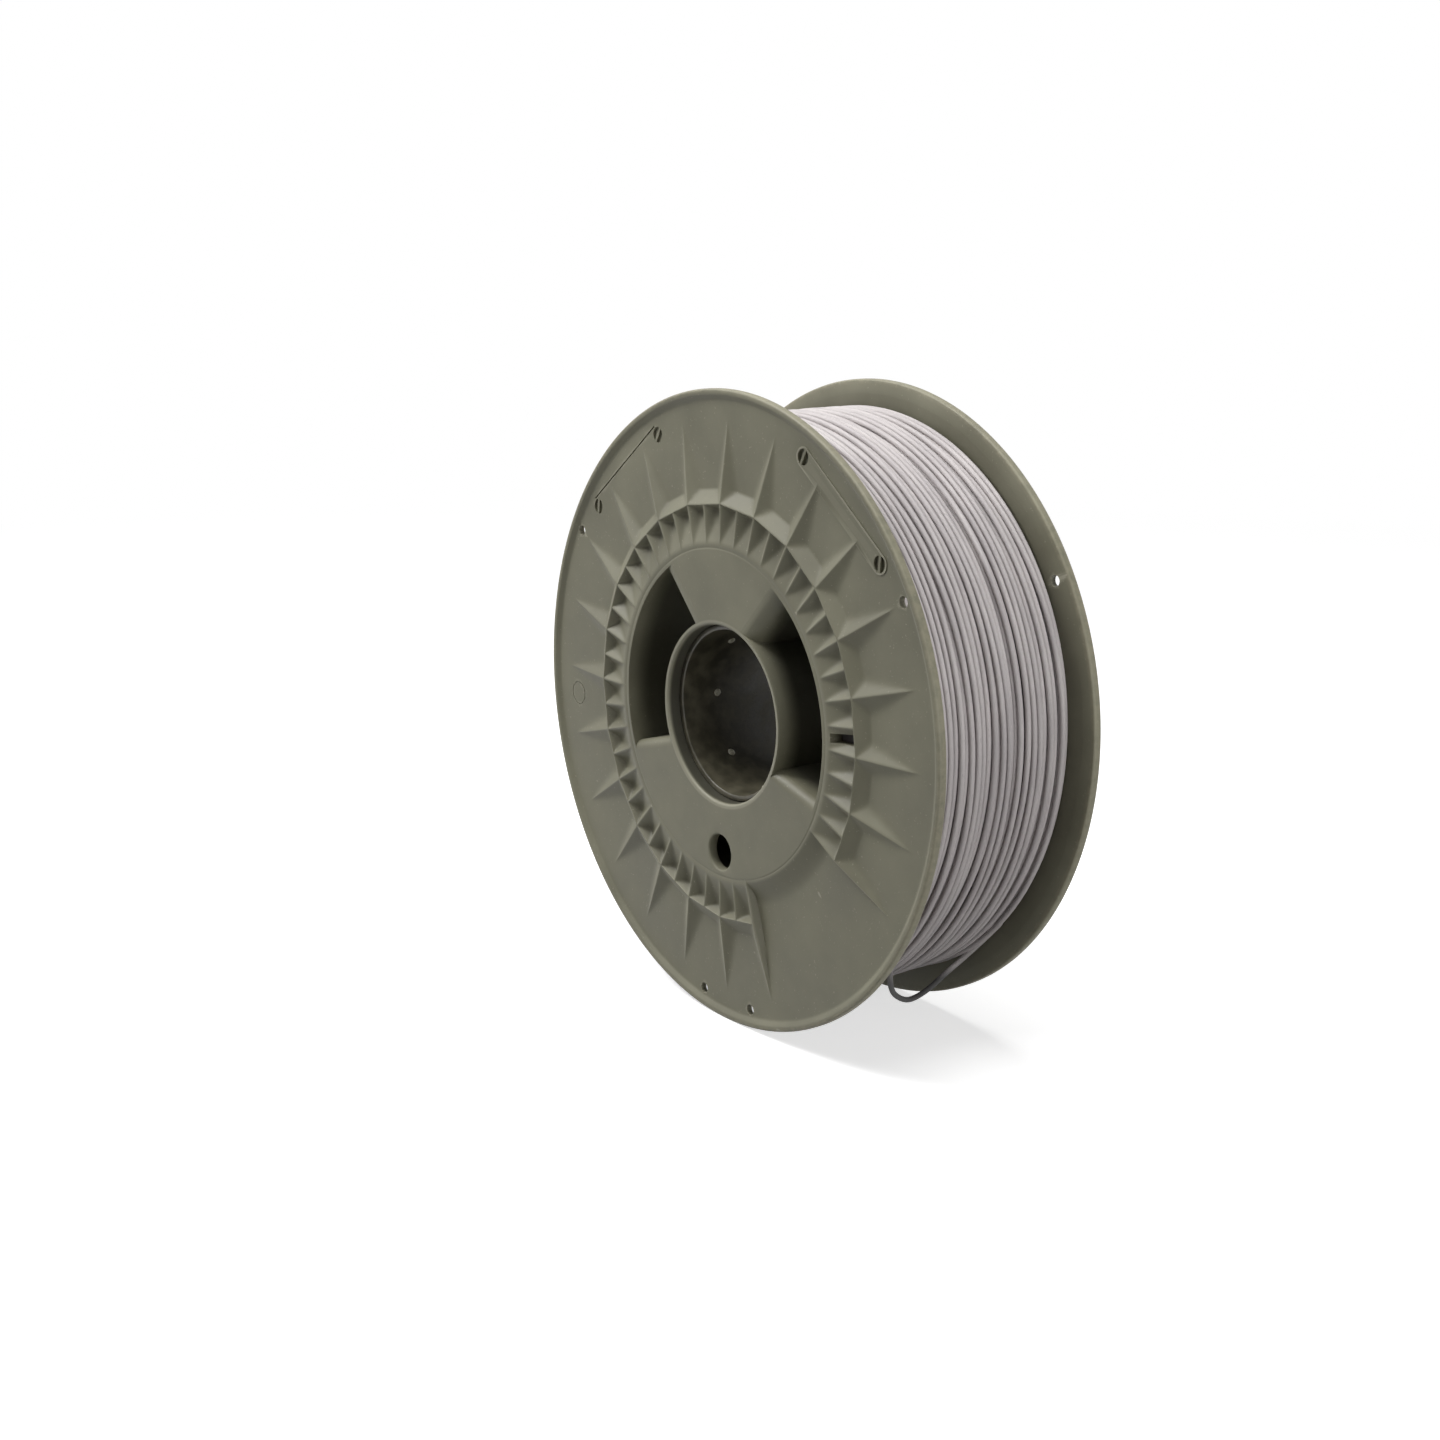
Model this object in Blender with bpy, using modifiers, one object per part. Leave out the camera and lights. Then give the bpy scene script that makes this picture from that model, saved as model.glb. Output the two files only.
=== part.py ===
"""Filament spool for 3D printing: two moulded flange halves joined by a bore sleeve, with its filament.

The spool's axis lies along Y, its centre is the origin and +Z is up. The decorated flange that the
photograph shows faces -Y. Both halves are the same moulding, modelled once with its axis on Z and its
outer face up, then turned into place. Each moulding is kept as three simple pieces, so that its hollows
stay open for collision: the flange disc, the hub and its half of the barrel. All sizes are in metres,
written as millimetres times MM.
"""
import math

import bmesh
import bpy
from mathutils import Matrix, Vector

MM = 0.001
CLEARANCE = 0.3 * MM

# Spool, overall
RIM_RADIUS = 100.0 * MM
RIM_WIDTH = 62.6 * MM          # between the two rim lips
HUB_PROUD = 1.6 * MM           # hub faces stand this far outside the lips

# Flange plate and rim
FACE_RECESS = 1.3 * MM         # flange face below the lip
PLATE_THICKNESS = 2.0 * MM
LIP_WIDTH = 1.7 * MM           # from the rim's edge to the start of the inner bevel
LIP_BEVEL = 1.5 * MM
RIM_ROUND = 0.7 * MM
INNER_BEVEL_WIDTH = 4.5 * MM   # shallow bevel round the winding side of the rim
INNER_BEVEL_DEPTH = 0.5 * MM

# Hub, barrel and bore
BARREL_RADIUS = 53.0 * MM
BARREL_WALL = 2.1 * MM
SPINDLE_RADIUS = 26.0 * MM     # the bore takes a 52 mm spindle
SLEEVE_WALL = 1.7 * MM
SLEEVE_SET_BACK = 4.3 * MM     # sleeve's end below the hub face
SLEEVE_CHAMFER = 0.5 * MM
COLLAR_WALL = 1.6 * MM
HUB_THICKNESS = 3.1 * MM
WEB_THICKNESS = 1.8 * MM

# Sun-ray relief round the hub; its widths are measured outwards from the barrel
RAYS = 24
HUB_LAND = 0.9 * MM            # from the barrel to the start of the pockets
CREST_REACH = 12.8 * MM
CREST_SLOPE = 4.4 * MM         # from the crest down to the flange face
RIDGE_THICKNESS = 0.5 * MM
POCKET_FLOOR_REACH = (9.0 * MM, 11.2 * MM)
POCKET_FLOOR_WIDTH = 1.4 * MM
RAY_TIP_INSET = 10.0 * MM      # in from the rim's edge
RAY_TIP_WIDTH = 0.3 * MM
RIDGE_DROP = 0.06 * MM         # ray ridges below the hub face
RAY_FOOT_HALF_WIDTH = 4.3 * MM
RAY_STEEP_HALF_WIDTH = 0.7 * MM
RAY_ROOT = 1.5 * MM            # a ray starts this far inside the crest
RAY_FOOT_INSET = 0.4 * MM
PLAIN_SECTOR_ENDS = (285.0, 330.0)  # degrees, without relief between the rays nearest to these
PLAIN_SLOPE_REACH = 7.0 * MM
PLAIN_SECTOR_MARGIN = 0.45     # degrees
PLAIN_FLOOR_SKIN = 0.02 * MM

# Openings in the flange, seen from outside; angles in degrees from +X towards +Z
WINDOW_CENTRES = (16.0, 164.0)
WINDOW_HALF_ANGLE = 31.0
WINDOW_SIDE_OFFSET = 4.8 * MM
WINDOW_FRAME = 0.3 * MM        # hub disc stands this far inside the webs and the barrel
DRIVE_HOLE_RADIUS = 5.8 * MM
DRIVE_HOLE_LAND = 0.8 * MM     # between the hole and the barrel's wall
DRIVE_HOLE_ANGLE = 270.0
RIM_HOLE_RADIUS = 1.8 * MM
RIM_HOLE_INSET = 5.4 * MM      # hole centre in from the rim's edge
RIM_HOLE_ANGLES = (30.0, 150.0, 262.5, 277.5)
START_SLOT_POCKET = 0          # the slot is cut through this pocket, counted from +X
START_SLOT_WALL = 0.3 * MM     # left standing at the pocket's outer wall
START_SLOT_LAND = 1.0 * MM

# Filament
FILAMENT_DIAMETER = 1.75 * MM
WINDING_DROP = 10.0 * MM       # winding's surface below the rim's edge
MOST_LOOPS = 24
LOOP_POINTS = 24
LAST_TURN_ANGLE = 318.0        # where the free end leaves the winding
LOOP_GAP = 0.45 * MM           # least gap planned between neighbouring loops

STEPS = 72
HALF_WIDTH = RIM_WIDTH / 2
HUB_TOP = HALF_WIDTH + HUB_PROUD
FACE_TOP = HALF_WIDTH - FACE_RECESS
PLATE_UNDER = FACE_TOP - PLATE_THICKNESS
COLLAR_BORE = SPINDLE_RADIUS + SLEEVE_WALL + CLEARANCE
COLLAR_RADIUS = COLLAR_BORE + COLLAR_WALL
SEAM = CLEARANCE / 2
RAY_PITCH = 360.0 / RAYS
CREST_RADIUS = BARREL_RADIUS + CREST_REACH
CREST_FOOT_RADIUS = CREST_RADIUS + CREST_SLOPE
POCKET_INNER_RADIUS = BARREL_RADIUS + HUB_LAND
POCKET_FLOOR_RADII = tuple(BARREL_RADIUS + reach for reach in POCKET_FLOOR_REACH)
RAY_TIP_RADIUS = RIM_RADIUS - RAY_TIP_INSET
PLAIN_SECTOR = tuple(RAY_PITCH * round(end / RAY_PITCH) for end in PLAIN_SECTOR_ENDS)
PLAIN_SLOPE_RADIUS = BARREL_RADIUS + PLAIN_SLOPE_REACH
BARREL_INSIDE = BARREL_RADIUS - BARREL_WALL
DRIVE_HOLE_PITCH_RADIUS = BARREL_INSIDE - DRIVE_HOLE_LAND - DRIVE_HOLE_RADIUS
START_SLOT_ANGLE = RAY_PITCH / 2 * (START_SLOT_POCKET + 0.5)
OVERRUN = 3.0 * MM             # how far a cutter runs past what it cuts
SINK = 0.2 * MM                # how far a joined shape sinks into the plate

for leftover in list(bpy.data.objects):
    bpy.data.objects.remove(leftover)


def new_collection(name):
    collection = bpy.data.collections.new(name)
    bpy.context.scene.collection.children.link(collection)
    return collection


PARTS = new_collection("filament_spool")
CUTTERS = new_collection("cutters")


def plastic(name, colour, roughness):
    material = bpy.data.materials.new(name)
    material.use_nodes = True
    shader = material.node_tree.nodes["Principled BSDF"]
    shader.inputs["Base Color"].default_value = (*colour, 1.0)
    shader.inputs["Roughness"].default_value = roughness
    shader.inputs["Metallic"].default_value = 0.0
    return material


def add_object(name, mesh, collection):
    item = bpy.data.objects.new(name, mesh)
    collection.objects.link(item)
    return item


def mesh_from(bm, name):
    mesh = bpy.data.meshes.new(name)
    bm.to_mesh(mesh)
    bm.free()
    return mesh


def as_helper(item):
    """Marks a shape that only cuts or joins another."""
    item.hide_render = True
    item.display_type = "WIRE"
    return item


def polar(radius, degrees):
    angle = math.radians(degrees)
    return Vector((radius * math.cos(angle), radius * math.sin(angle), 0.0))


def arc(radius, start, end, count):
    step = (end - start) / (count - 1)
    return [polar(radius, start + step * i) for i in range(count)]


def turned(name, outline, collection):
    """Turns a closed outline of (radius, height) points, running down its outer side, round Z."""
    bm = bmesh.new()
    corners = [bm.verts.new((radius, 0.0, height)) for radius, height in outline]
    for a, b in zip(corners, corners[1:] + corners[:1]):
        bm.edges.new((a, b))
    item = add_object(name, mesh_from(bm, name), collection)
    screw = item.modifiers.new("turn", "SCREW")
    screw.axis = "Z"
    screw.steps = STEPS
    screw.render_steps = STEPS
    screw.use_merge_vertices = True
    screw.merge_threshold = 0.00001
    return item


def loft(bm, lower, upper, z_low, z_high):
    """Adds a closed solid between two flat outlines that have the same number of points."""
    base = [bm.verts.new((p.x, p.y, z_low)) for p in lower]
    face = bmesh.ops.contextual_create(bm, geom=base)["faces"][0]
    grown = bmesh.ops.extrude_face_region(bm, geom=[face])["geom"]
    top = {v for v in grown if isinstance(v, bmesh.types.BMVert)}
    for v in base:
        above = next(e.other_vert(v) for e in v.link_edges if e.other_vert(v) in top)
        target = upper[base.index(v)]
        above.co = Vector((target.x, target.y, z_high))


def finish_solid(bm, name):
    bmesh.ops.recalc_face_normals(bm, faces=bm.faces)
    return as_helper(add_object(name, mesh_from(bm, name), CUTTERS))


def cylinder(name, radius, z_low, z_high, segments, places=(Vector((0, 0, 0)),)):
    bm = bmesh.new()
    for place in places:
        middle = Matrix.Translation((place.x, place.y, (z_low + z_high) / 2))
        bmesh.ops.create_cone(bm, cap_ends=True, segments=segments, radius1=radius, radius2=radius,
                              depth=z_high - z_low, matrix=middle)
    return finish_solid(bm, name)


def boolean(item, helper, operation):
    modifier = item.modifiers.new(helper.name, "BOOLEAN")
    modifier.operation = operation
    modifier.solver = "EXACT"
    modifier.object = helper


def in_plain_sector(degrees):
    return PLAIN_SECTOR[0] < degrees % 360 < PLAIN_SECTOR[1]


def flange_body():
    """Plate and rim, turned from one outline."""
    bevel_start = RIM_RADIUS - LIP_WIDTH
    return turned("flange_body", [
        (bevel_start - LIP_BEVEL, FACE_TOP),
        (bevel_start, HALF_WIDTH),
        (RIM_RADIUS - RIM_ROUND, HALF_WIDTH),
        (RIM_RADIUS, HALF_WIDTH - RIM_ROUND),
        (RIM_RADIUS, PLATE_UNDER + INNER_BEVEL_DEPTH + RIM_ROUND),
        (RIM_RADIUS - RIM_ROUND, PLATE_UNDER + INNER_BEVEL_DEPTH),
        (RIM_RADIUS - INNER_BEVEL_WIDTH, PLATE_UNDER),
        (BARREL_RADIUS, PLATE_UNDER),
        (BARREL_RADIUS, FACE_TOP),
    ], PARTS)


def hub_block():
    """The 24-sided raised block that the pockets are cut from."""
    bm = bmesh.new()
    z_low = FACE_TOP - SINK
    height = HUB_TOP - z_low
    slope = (CREST_FOOT_RADIUS - CREST_RADIUS) / (HUB_TOP - FACE_TOP)
    bmesh.ops.create_cone(bm, cap_ends=True, segments=RAYS, radius1=CREST_RADIUS + slope * height,
                          radius2=CREST_RADIUS, depth=height,
                          matrix=Matrix.Translation((0, 0, z_low + height / 2)))
    return finish_solid(bm, "hub_block")


def rays():
    """Wedges that fall from the crest to the flange face, one for each ray angle."""
    bm = bmesh.new()
    low = FACE_TOP - SINK
    for index in range(RAYS):
        angle = RAY_PITCH * index
        if in_plain_sector(angle):
            continue
        along = polar(1.0, angle)
        across = polar(1.0, angle + 90)
        left = RAY_STEEP_HALF_WIDTH if in_plain_sector(angle + 1) else RAY_FOOT_HALF_WIDTH
        right = RAY_STEEP_HALF_WIDTH if in_plain_sector(angle - 1) else RAY_FOOT_HALF_WIDTH
        inner = along * (CREST_RADIUS - RAY_ROOT)
        foot = along * (CREST_FOOT_RADIUS - RAY_FOOT_INSET)
        ridge = Vector((0, 0, HUB_TOP - RIDGE_DROP))
        ground = Vector((0, 0, low))
        corners = [inner + across * left + ground, inner - across * right + ground,
                   foot + across * left + ground, foot - across * right + ground]
        for side in (-1, 1):
            corners.append(inner + across * side * RIDGE_THICKNESS / 2 + ridge)
            corners.append(along * CREST_RADIUS + across * side * RIDGE_THICKNESS / 2 + ridge)
            corners.append(along * RAY_TIP_RADIUS + across * side * RAY_TIP_WIDTH / 2 + ground)
        hull = bmesh.ops.convex_hull(bm, input=[bm.verts.new(c) for c in corners])
        spare = [v for v in hull["geom_interior"] + hull["geom_unused"] if isinstance(v, bmesh.types.BMVert)]
        bmesh.ops.delete(bm, geom=spare, context="VERTS")
    return finish_solid(bm, "rays")


def pockets():
    """Hollows between the gussets: deep at the crest, running out towards the hub."""
    bm = bmesh.new()
    pitch = RAY_PITCH / 2
    floor = FACE_TOP
    top = HUB_TOP + OVERRUN
    rise = (top - floor) / (HUB_TOP - floor)
    mouth_outer = CREST_RADIUS * math.cos(math.pi / RAYS) - RIDGE_THICKNESS
    for index in range(2 * RAYS):
        centre = pitch * (index + 0.5)
        if in_plain_sector(centre):
            continue
        along = polar(1.0, centre)
        across = polar(1.0, centre + 90)
        mouth = []
        bottom = []
        for mouth_radius, floor_radius, side in (
                (POCKET_INNER_RADIUS, POCKET_FLOOR_RADII[0], -1), (mouth_outer, POCKET_FLOOR_RADII[1], -1),
                (mouth_outer, POCKET_FLOOR_RADII[1], 1), (POCKET_INNER_RADIUS, POCKET_FLOOR_RADII[0], 1)):
            half_mouth = mouth_radius * math.tan(math.radians(pitch / 2)) - RIDGE_THICKNESS / 2
            mouth.append(along * mouth_radius + across * side * half_mouth)
            bottom.append(along * floor_radius + across * side * POCKET_FLOOR_WIDTH / 2)
        upper = [b + (m - b) * rise for m, b in zip(mouth, bottom)]
        loft(bm, bottom, upper, floor, top)
    return finish_solid(bm, "pockets")


def plain_sector():
    """Clears the block between two rays, leaving a slope down from the hub."""
    bm = bmesh.new()
    start = PLAIN_SECTOR[0] + PLAIN_SECTOR_MARGIN
    end = PLAIN_SECTOR[1] - PLAIN_SECTOR_MARGIN
    floor = FACE_TOP + PLAIN_FLOOR_SKIN
    top = HUB_TOP + OVERRUN
    slope = (PLAIN_SLOPE_RADIUS - POCKET_INNER_RADIUS) / (HUB_TOP - floor)
    upper_radius = PLAIN_SLOPE_RADIUS - slope * (top - floor)
    outer = CREST_FOOT_RADIUS + OVERRUN
    count = 8
    lower = arc(PLAIN_SLOPE_RADIUS, start, end, count) + arc(outer, end, start, count)
    upper = arc(upper_radius, start, end, count) + arc(outer, end, start, count)
    loft(bm, lower, upper, floor, top)
    return finish_solid(bm, "plain_sector")


def window_outline(centre, inset):
    """Window between two straight sides that run nearly along the radius."""
    inner = COLLAR_RADIUS + inset
    outer = BARREL_INSIDE - inset

    def side(radius):
        return WINDOW_HALF_ANGLE + math.degrees(math.asin((WINDOW_SIDE_OFFSET - inset) / radius))
    return (arc(outer, centre - side(outer), centre + side(outer), 10)
            + arc(inner, centre + side(inner), centre - side(inner), 10))


def windows():
    bm = bmesh.new()
    for centre in WINDOW_CENTRES:
        outline = window_outline(centre, WINDOW_FRAME)
        loft(bm, outline, outline, HUB_TOP - HUB_THICKNESS - OVERRUN, HUB_TOP + OVERRUN)
    return finish_solid(bm, "windows")


def webs():
    """Radial walls that close the sides of the windows down to the middle of the spool."""
    bm = bmesh.new()
    for centre in WINDOW_CENTRES:
        for side in (-1, 1):
            direction = centre + side * WINDOW_HALF_ANGLE
            along = polar(1.0, direction)
            across = polar(1.0, direction + side * 90)
            near = WINDOW_SIDE_OFFSET
            inner = along * math.sqrt(COLLAR_BORE ** 2 - near ** 2) + along * (COLLAR_WALL / 2)
            outer = along * math.sqrt((BARREL_INSIDE - CLEARANCE) ** 2 - (near + WEB_THICKNESS) ** 2)
            outline = [inner + across * near, outer + across * near,
                       outer + across * (near + WEB_THICKNESS), inner + across * (near + WEB_THICKNESS)]
            loft(bm, outline, outline, SEAM + CLEARANCE, HUB_TOP - HUB_THICKNESS / 2)
    return finish_solid(bm, "webs")


def start_slot():
    """Opening beside the barrel through which the first turn of filament was anchored."""
    bm = bmesh.new()
    half = math.degrees(POCKET_FLOOR_WIDTH / POCKET_INNER_RADIUS)
    inner = BARREL_RADIUS + START_SLOT_LAND
    outer = POCKET_FLOOR_RADII[1] - START_SLOT_WALL
    outline = [polar(inner, START_SLOT_ANGLE - half), polar(outer, START_SLOT_ANGLE - half),
               polar(outer, START_SLOT_ANGLE + half), polar(inner, START_SLOT_ANGLE + half)]
    loft(bm, outline, outline, PLATE_UNDER - OVERRUN, HUB_TOP + OVERRUN)
    return finish_solid(bm, "start_slot")


def flange():
    """Disc with the relief, the rim and the holes in it."""
    body = flange_body()
    boolean(body, hub_block(), "UNION")
    boolean(body, rays(), "UNION")
    boolean(body, pockets(), "DIFFERENCE")
    boolean(body, plain_sector(), "DIFFERENCE")
    boolean(body, start_slot(), "DIFFERENCE")
    middle = cylinder("flange_middle", BARREL_RADIUS + CLEARANCE, PLATE_UNDER - OVERRUN,
                      HUB_TOP + OVERRUN, STEPS)
    boolean(body, middle, "DIFFERENCE")
    places = [polar(RIM_RADIUS - RIM_HOLE_INSET, angle) for angle in RIM_HOLE_ANGLES]
    holes = cylinder("rim_holes", RIM_HOLE_RADIUS, PLATE_UNDER - OVERRUN, HALF_WIDTH + OVERRUN, 12, places)
    boolean(body, holes, "DIFFERENCE")
    return body


def hub():
    """Hub disc with its windows and drive hole, the collar of the bore and the walls of the windows."""
    under = HUB_TOP - HUB_THICKNESS
    body = turned("hub_body", [
        (COLLAR_BORE, HUB_TOP), (BARREL_RADIUS, HUB_TOP), (BARREL_RADIUS, under), (COLLAR_RADIUS, under),
        (COLLAR_RADIUS, SEAM), (COLLAR_BORE, SEAM)], PARTS)
    boolean(body, webs(), "UNION")
    boolean(body, windows(), "DIFFERENCE")
    drive_place = polar(DRIVE_HOLE_PITCH_RADIUS, DRIVE_HOLE_ANGLE)
    drive = cylinder("drive_hole", DRIVE_HOLE_RADIUS, under - OVERRUN, HUB_TOP + OVERRUN, 24,
                     (drive_place,))
    boolean(body, drive, "DIFFERENCE")
    return body


def barrel():
    """Half of the tube that the filament is wound on."""
    top = HUB_TOP - HUB_THICKNESS - CLEARANCE
    return turned("barrel_body", [
        (BARREL_RADIUS, top), (BARREL_RADIUS, SEAM), (BARREL_INSIDE, SEAM), (BARREL_INSIDE, top)], PARTS)


def freeze(item, name):
    """Keeps the finished mesh of a shape, with every modifier worked out."""
    bpy.context.view_layer.update()
    shape = item.evaluated_get(bpy.context.evaluated_depsgraph_get())
    mesh = bpy.data.meshes.new_from_object(shape)
    mesh.name = name
    return mesh


FACE_FRONT = Matrix.Rotation(math.radians(90), 4, "X")
FACE_REAR = Matrix.Rotation(math.radians(180), 4, "Z") @ FACE_FRONT


def halves(material):
    """Each moulding's flange disc, hub and half of the barrel, at the front and turned to the rear."""
    for body, name in ((flange(), "flange"), (hub(), "hub"), (barrel(), "barrel")):
        mesh = freeze(body, name)
        bpy.data.objects.remove(body)
        mesh.materials.clear()
        mesh.materials.append(material)
        for end, placing in (("front_", FACE_FRONT), ("rear_", FACE_REAR)):
            add_object(end + name, mesh, PARTS).matrix_world = placing


def sleeve(material):
    """Tube pressed into both collars; its ends show as a ledge inside the bore."""
    reach = HUB_TOP - SLEEVE_SET_BACK
    outer = SPINDLE_RADIUS + SLEEVE_WALL
    mouth = SPINDLE_RADIUS + SLEEVE_CHAMFER
    tube = turned("bore_sleeve", [
        (mouth, reach), (outer, reach), (outer, -reach), (mouth, -reach),
        (SPINDLE_RADIUS, -reach + SLEEVE_CHAMFER), (SPINDLE_RADIUS, reach - SLEEVE_CHAMFER)], PARTS)
    tube.data.materials.append(material)
    tube.matrix_world = FACE_FRONT


WINDING_CENTRE_RADIUS = RIM_RADIUS - WINDING_DROP - FILAMENT_DIAMETER / 2
WINDING_REACH = PLATE_UNDER - CLEARANCE - FILAMENT_DIAMETER / 2
CORE_RADIUS = (WINDING_CENTRE_RADIUS * math.cos(math.pi / LOOP_POINTS)
               - FILAMENT_DIAMETER / 2 - CLEARANCE)
LOOPS = min(MOST_LOOPS, int(2 * WINDING_REACH / (FILAMENT_DIAMETER + LOOP_GAP)))


def winding_core(material):
    """The inner layers of filament, kept as one plain ring on the barrel."""
    reach = PLATE_UNDER - CLEARANCE
    inner = BARREL_RADIUS + CLEARANCE
    core = turned("filament_inner_layers", [
        (inner, reach), (CORE_RADIUS, reach), (CORE_RADIUS, -reach), (inner, -reach)], PARTS)
    core.data.materials.append(material)
    core.matrix_world = FACE_FRONT


def tube(name, points, bevel_resolution, material):
    curve = bpy.data.curves.new(name, "CURVE")
    curve.dimensions = "3D"
    curve.bevel_depth = FILAMENT_DIAMETER / 2
    curve.bevel_resolution = bevel_resolution
    curve.use_fill_caps = True
    spline = curve.splines.new("POLY")
    spline.points.add(len(points) - 1)
    for point, place in zip(spline.points, points):
        point.co = (*place, 1.0)
    curve.materials.append(material)
    return add_object(name, curve, PARTS)


def on_winding(degrees, y, radius=WINDING_CENTRE_RADIUS):
    flat = polar(radius, degrees)
    return Vector((flat.x, y, flat.y))


def outer_layer_points():
    """One strand wound from the front flange to the rear, with straight, square ends."""
    pitch = 2 * WINDING_REACH / LOOPS
    total = LOOPS * LOOP_POINTS
    points = []
    for index in range(total + 1):
        share = index / LOOP_POINTS
        points.append(on_winding(LAST_TURN_ANGLE + 360 * (LOOPS - share), -WINDING_REACH + pitch * share))
    first = points[0] + (points[0] - points[1]).normalized() * FILAMENT_DIAMETER
    last = points[-1] + (points[-1] - points[-2]).normalized() * FILAMENT_DIAMETER
    return [first] + points + [last]


def least_gap(points):
    """Smallest gap between the strand's surface and itself, half a turn or more along it."""
    nearest = math.inf
    apart = LOOP_POINTS // 2
    for i, a in enumerate(points):
        for b in points[i + apart:i + 2 * LOOP_POINTS]:
            nearest = min(nearest, (a - b).length)
    return nearest - FILAMENT_DIAMETER


def smooth_route(corners, count):
    """Evenly spaced points on a smooth curve through the corners."""
    path = [corners[0]] + list(corners) + [corners[-1]]
    fine = []
    for p0, p1, p2, p3 in zip(path, path[1:], path[2:], path[3:]):
        for step in range(20):
            t = step / 20
            fine.append(0.5 * ((2 * p1) + (p2 - p0) * t + (2 * p0 - 5 * p1 + 4 * p2 - p3) * t ** 2
                               + (3 * p1 - p0 - 3 * p2 + p3) * t ** 3))
    fine.append(corners[-1])
    lengths = [0.0]
    for a, b in zip(fine, fine[1:]):
        lengths.append(lengths[-1] + (b - a).length)
    spaced = []
    for index in range(count):
        target = lengths[-1] * index / (count - 1)
        k = max(i for i in range(len(lengths)) if lengths[i] <= target + 1e-12)
        k = min(k, len(fine) - 2)
        span = lengths[k + 1] - lengths[k]
        spaced.append(fine[k].lerp(fine[k + 1], (target - lengths[k]) / span))
    return spaced, lengths[-1]


# The free end's route: angle in degrees, radius and distance from the middle of the spool.
FREE_END_ROUTE = [
    (310.5, 90.1 * MM, 26.7 * MM), (303.2, 92.0 * MM, 25.6 * MM), (300.4, 94.6 * MM, 20.8 * MM),
    (298.9, 98.2 * MM, 12.9 * MM), (299.6, 99.6 * MM, 4.0 * MM), (303.4, 97.8 * MM, -5.5 * MM),
    (308.4, 95.6 * MM, -12.5 * MM), (314.5, 93.6 * MM, -18.0 * MM), (322.0, 92.2 * MM, -22.5 * MM),
    (329.0, 91.4 * MM, -25.2 * MM)]
FREE_END_POINTS = 26


def filament(material):
    winding_core(material)
    layer = outer_layer_points()
    gap = least_gap(layer)
    print("outer layer: %d loops, least gap to itself %.3f mm" % (LOOPS, gap / MM))
    tube("filament_outer_layer", layer, 1, material)
    heading = (layer[-1] - layer[-2]).normalized()
    start = layer[-1] + heading * CLEARANCE
    route = [start, start + heading * FILAMENT_DIAMETER]
    route += [on_winding(angle, y, radius) for angle, radius, y in FREE_END_ROUTE]
    points, length = smooth_route(route, FREE_END_POINTS)
    print("free end: %.1f mm long" % (length / MM))
    tube("filament_free_end", points, 2, material)


OLIVE_PLASTIC = plastic("olive_plastic", (0.150, 0.147, 0.118), 0.5)
DARK_PLASTIC = plastic("dark_olive_plastic", (0.105, 0.105, 0.088), 0.42)
FILAMENT = plastic("matt_lilac_grey_filament", (0.42, 0.40, 0.42), 0.65)

halves(OLIVE_PLASTIC)
sleeve(DARK_PLASTIC)
filament(FILAMENT)
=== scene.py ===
# %% [markdown]
# # A spool of 3D-printing filament
#
# The spool is two identical plastic mouldings, each a flange with half of the barrel, joined by a tube
# in the bore and wound with one long strand of filament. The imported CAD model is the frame: it gives the
# size and place of every piece. This notebook models each piece again in finer detail, in the same
# place, and gives it the finish of the real one. The axis lies along Y, +Z is up, and the flange with
# the sun-ray relief that faces the camera faces -Y.

# %% Load the frame
import math
import random

import bmesh
import bpy
from mathutils import Matrix, Vector


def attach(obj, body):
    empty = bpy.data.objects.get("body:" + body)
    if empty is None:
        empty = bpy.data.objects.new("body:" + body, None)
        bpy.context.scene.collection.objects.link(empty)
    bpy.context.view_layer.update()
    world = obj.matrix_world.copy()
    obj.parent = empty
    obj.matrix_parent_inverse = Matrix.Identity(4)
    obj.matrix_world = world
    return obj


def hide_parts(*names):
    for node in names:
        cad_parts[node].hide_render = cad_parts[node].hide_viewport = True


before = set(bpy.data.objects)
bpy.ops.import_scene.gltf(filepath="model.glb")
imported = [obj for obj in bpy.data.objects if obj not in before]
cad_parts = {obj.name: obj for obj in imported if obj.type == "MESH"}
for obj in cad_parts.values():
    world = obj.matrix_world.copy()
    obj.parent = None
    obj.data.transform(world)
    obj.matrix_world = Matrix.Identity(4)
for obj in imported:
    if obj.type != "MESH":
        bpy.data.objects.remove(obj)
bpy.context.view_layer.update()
print("frame:", sorted(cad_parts))

MM = 0.001  # every size below is written in millimetres, times MM

# %% [markdown]
# ## The camera
#
# A camera was fitted to the two rims, the hub and the bore of the photographed spool, so its place,
# direction and focal length are known. A camera that looks along a direction is turned with
# `to_track_quat`, which keeps it upright.

# %% Camera at the photograph's viewing angle
SENSOR_WIDTH = 36.0          # millimetres, as the focal length is
FOCAL_LENGTH = 54.42
CAMERA_PLACE = Vector((0.52910, -0.41920, 0.15667))
CAMERA_DIRECTION = Vector((-0.78498, 0.57330, -0.23479))

camera = bpy.data.objects.new("photo_camera", bpy.data.cameras.new("photo_camera"))
bpy.context.scene.collection.objects.link(camera)
camera.data.sensor_width = SENSOR_WIDTH
camera.data.lens = FOCAL_LENGTH
camera.location = CAMERA_PLACE
camera.rotation_euler = CAMERA_DIRECTION.to_track_quat("-Z", "Y").to_euler()
bpy.context.scene.camera = camera
print("camera is %.0f mm from the spool's centre" % (CAMERA_PLACE.length / MM))

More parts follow.
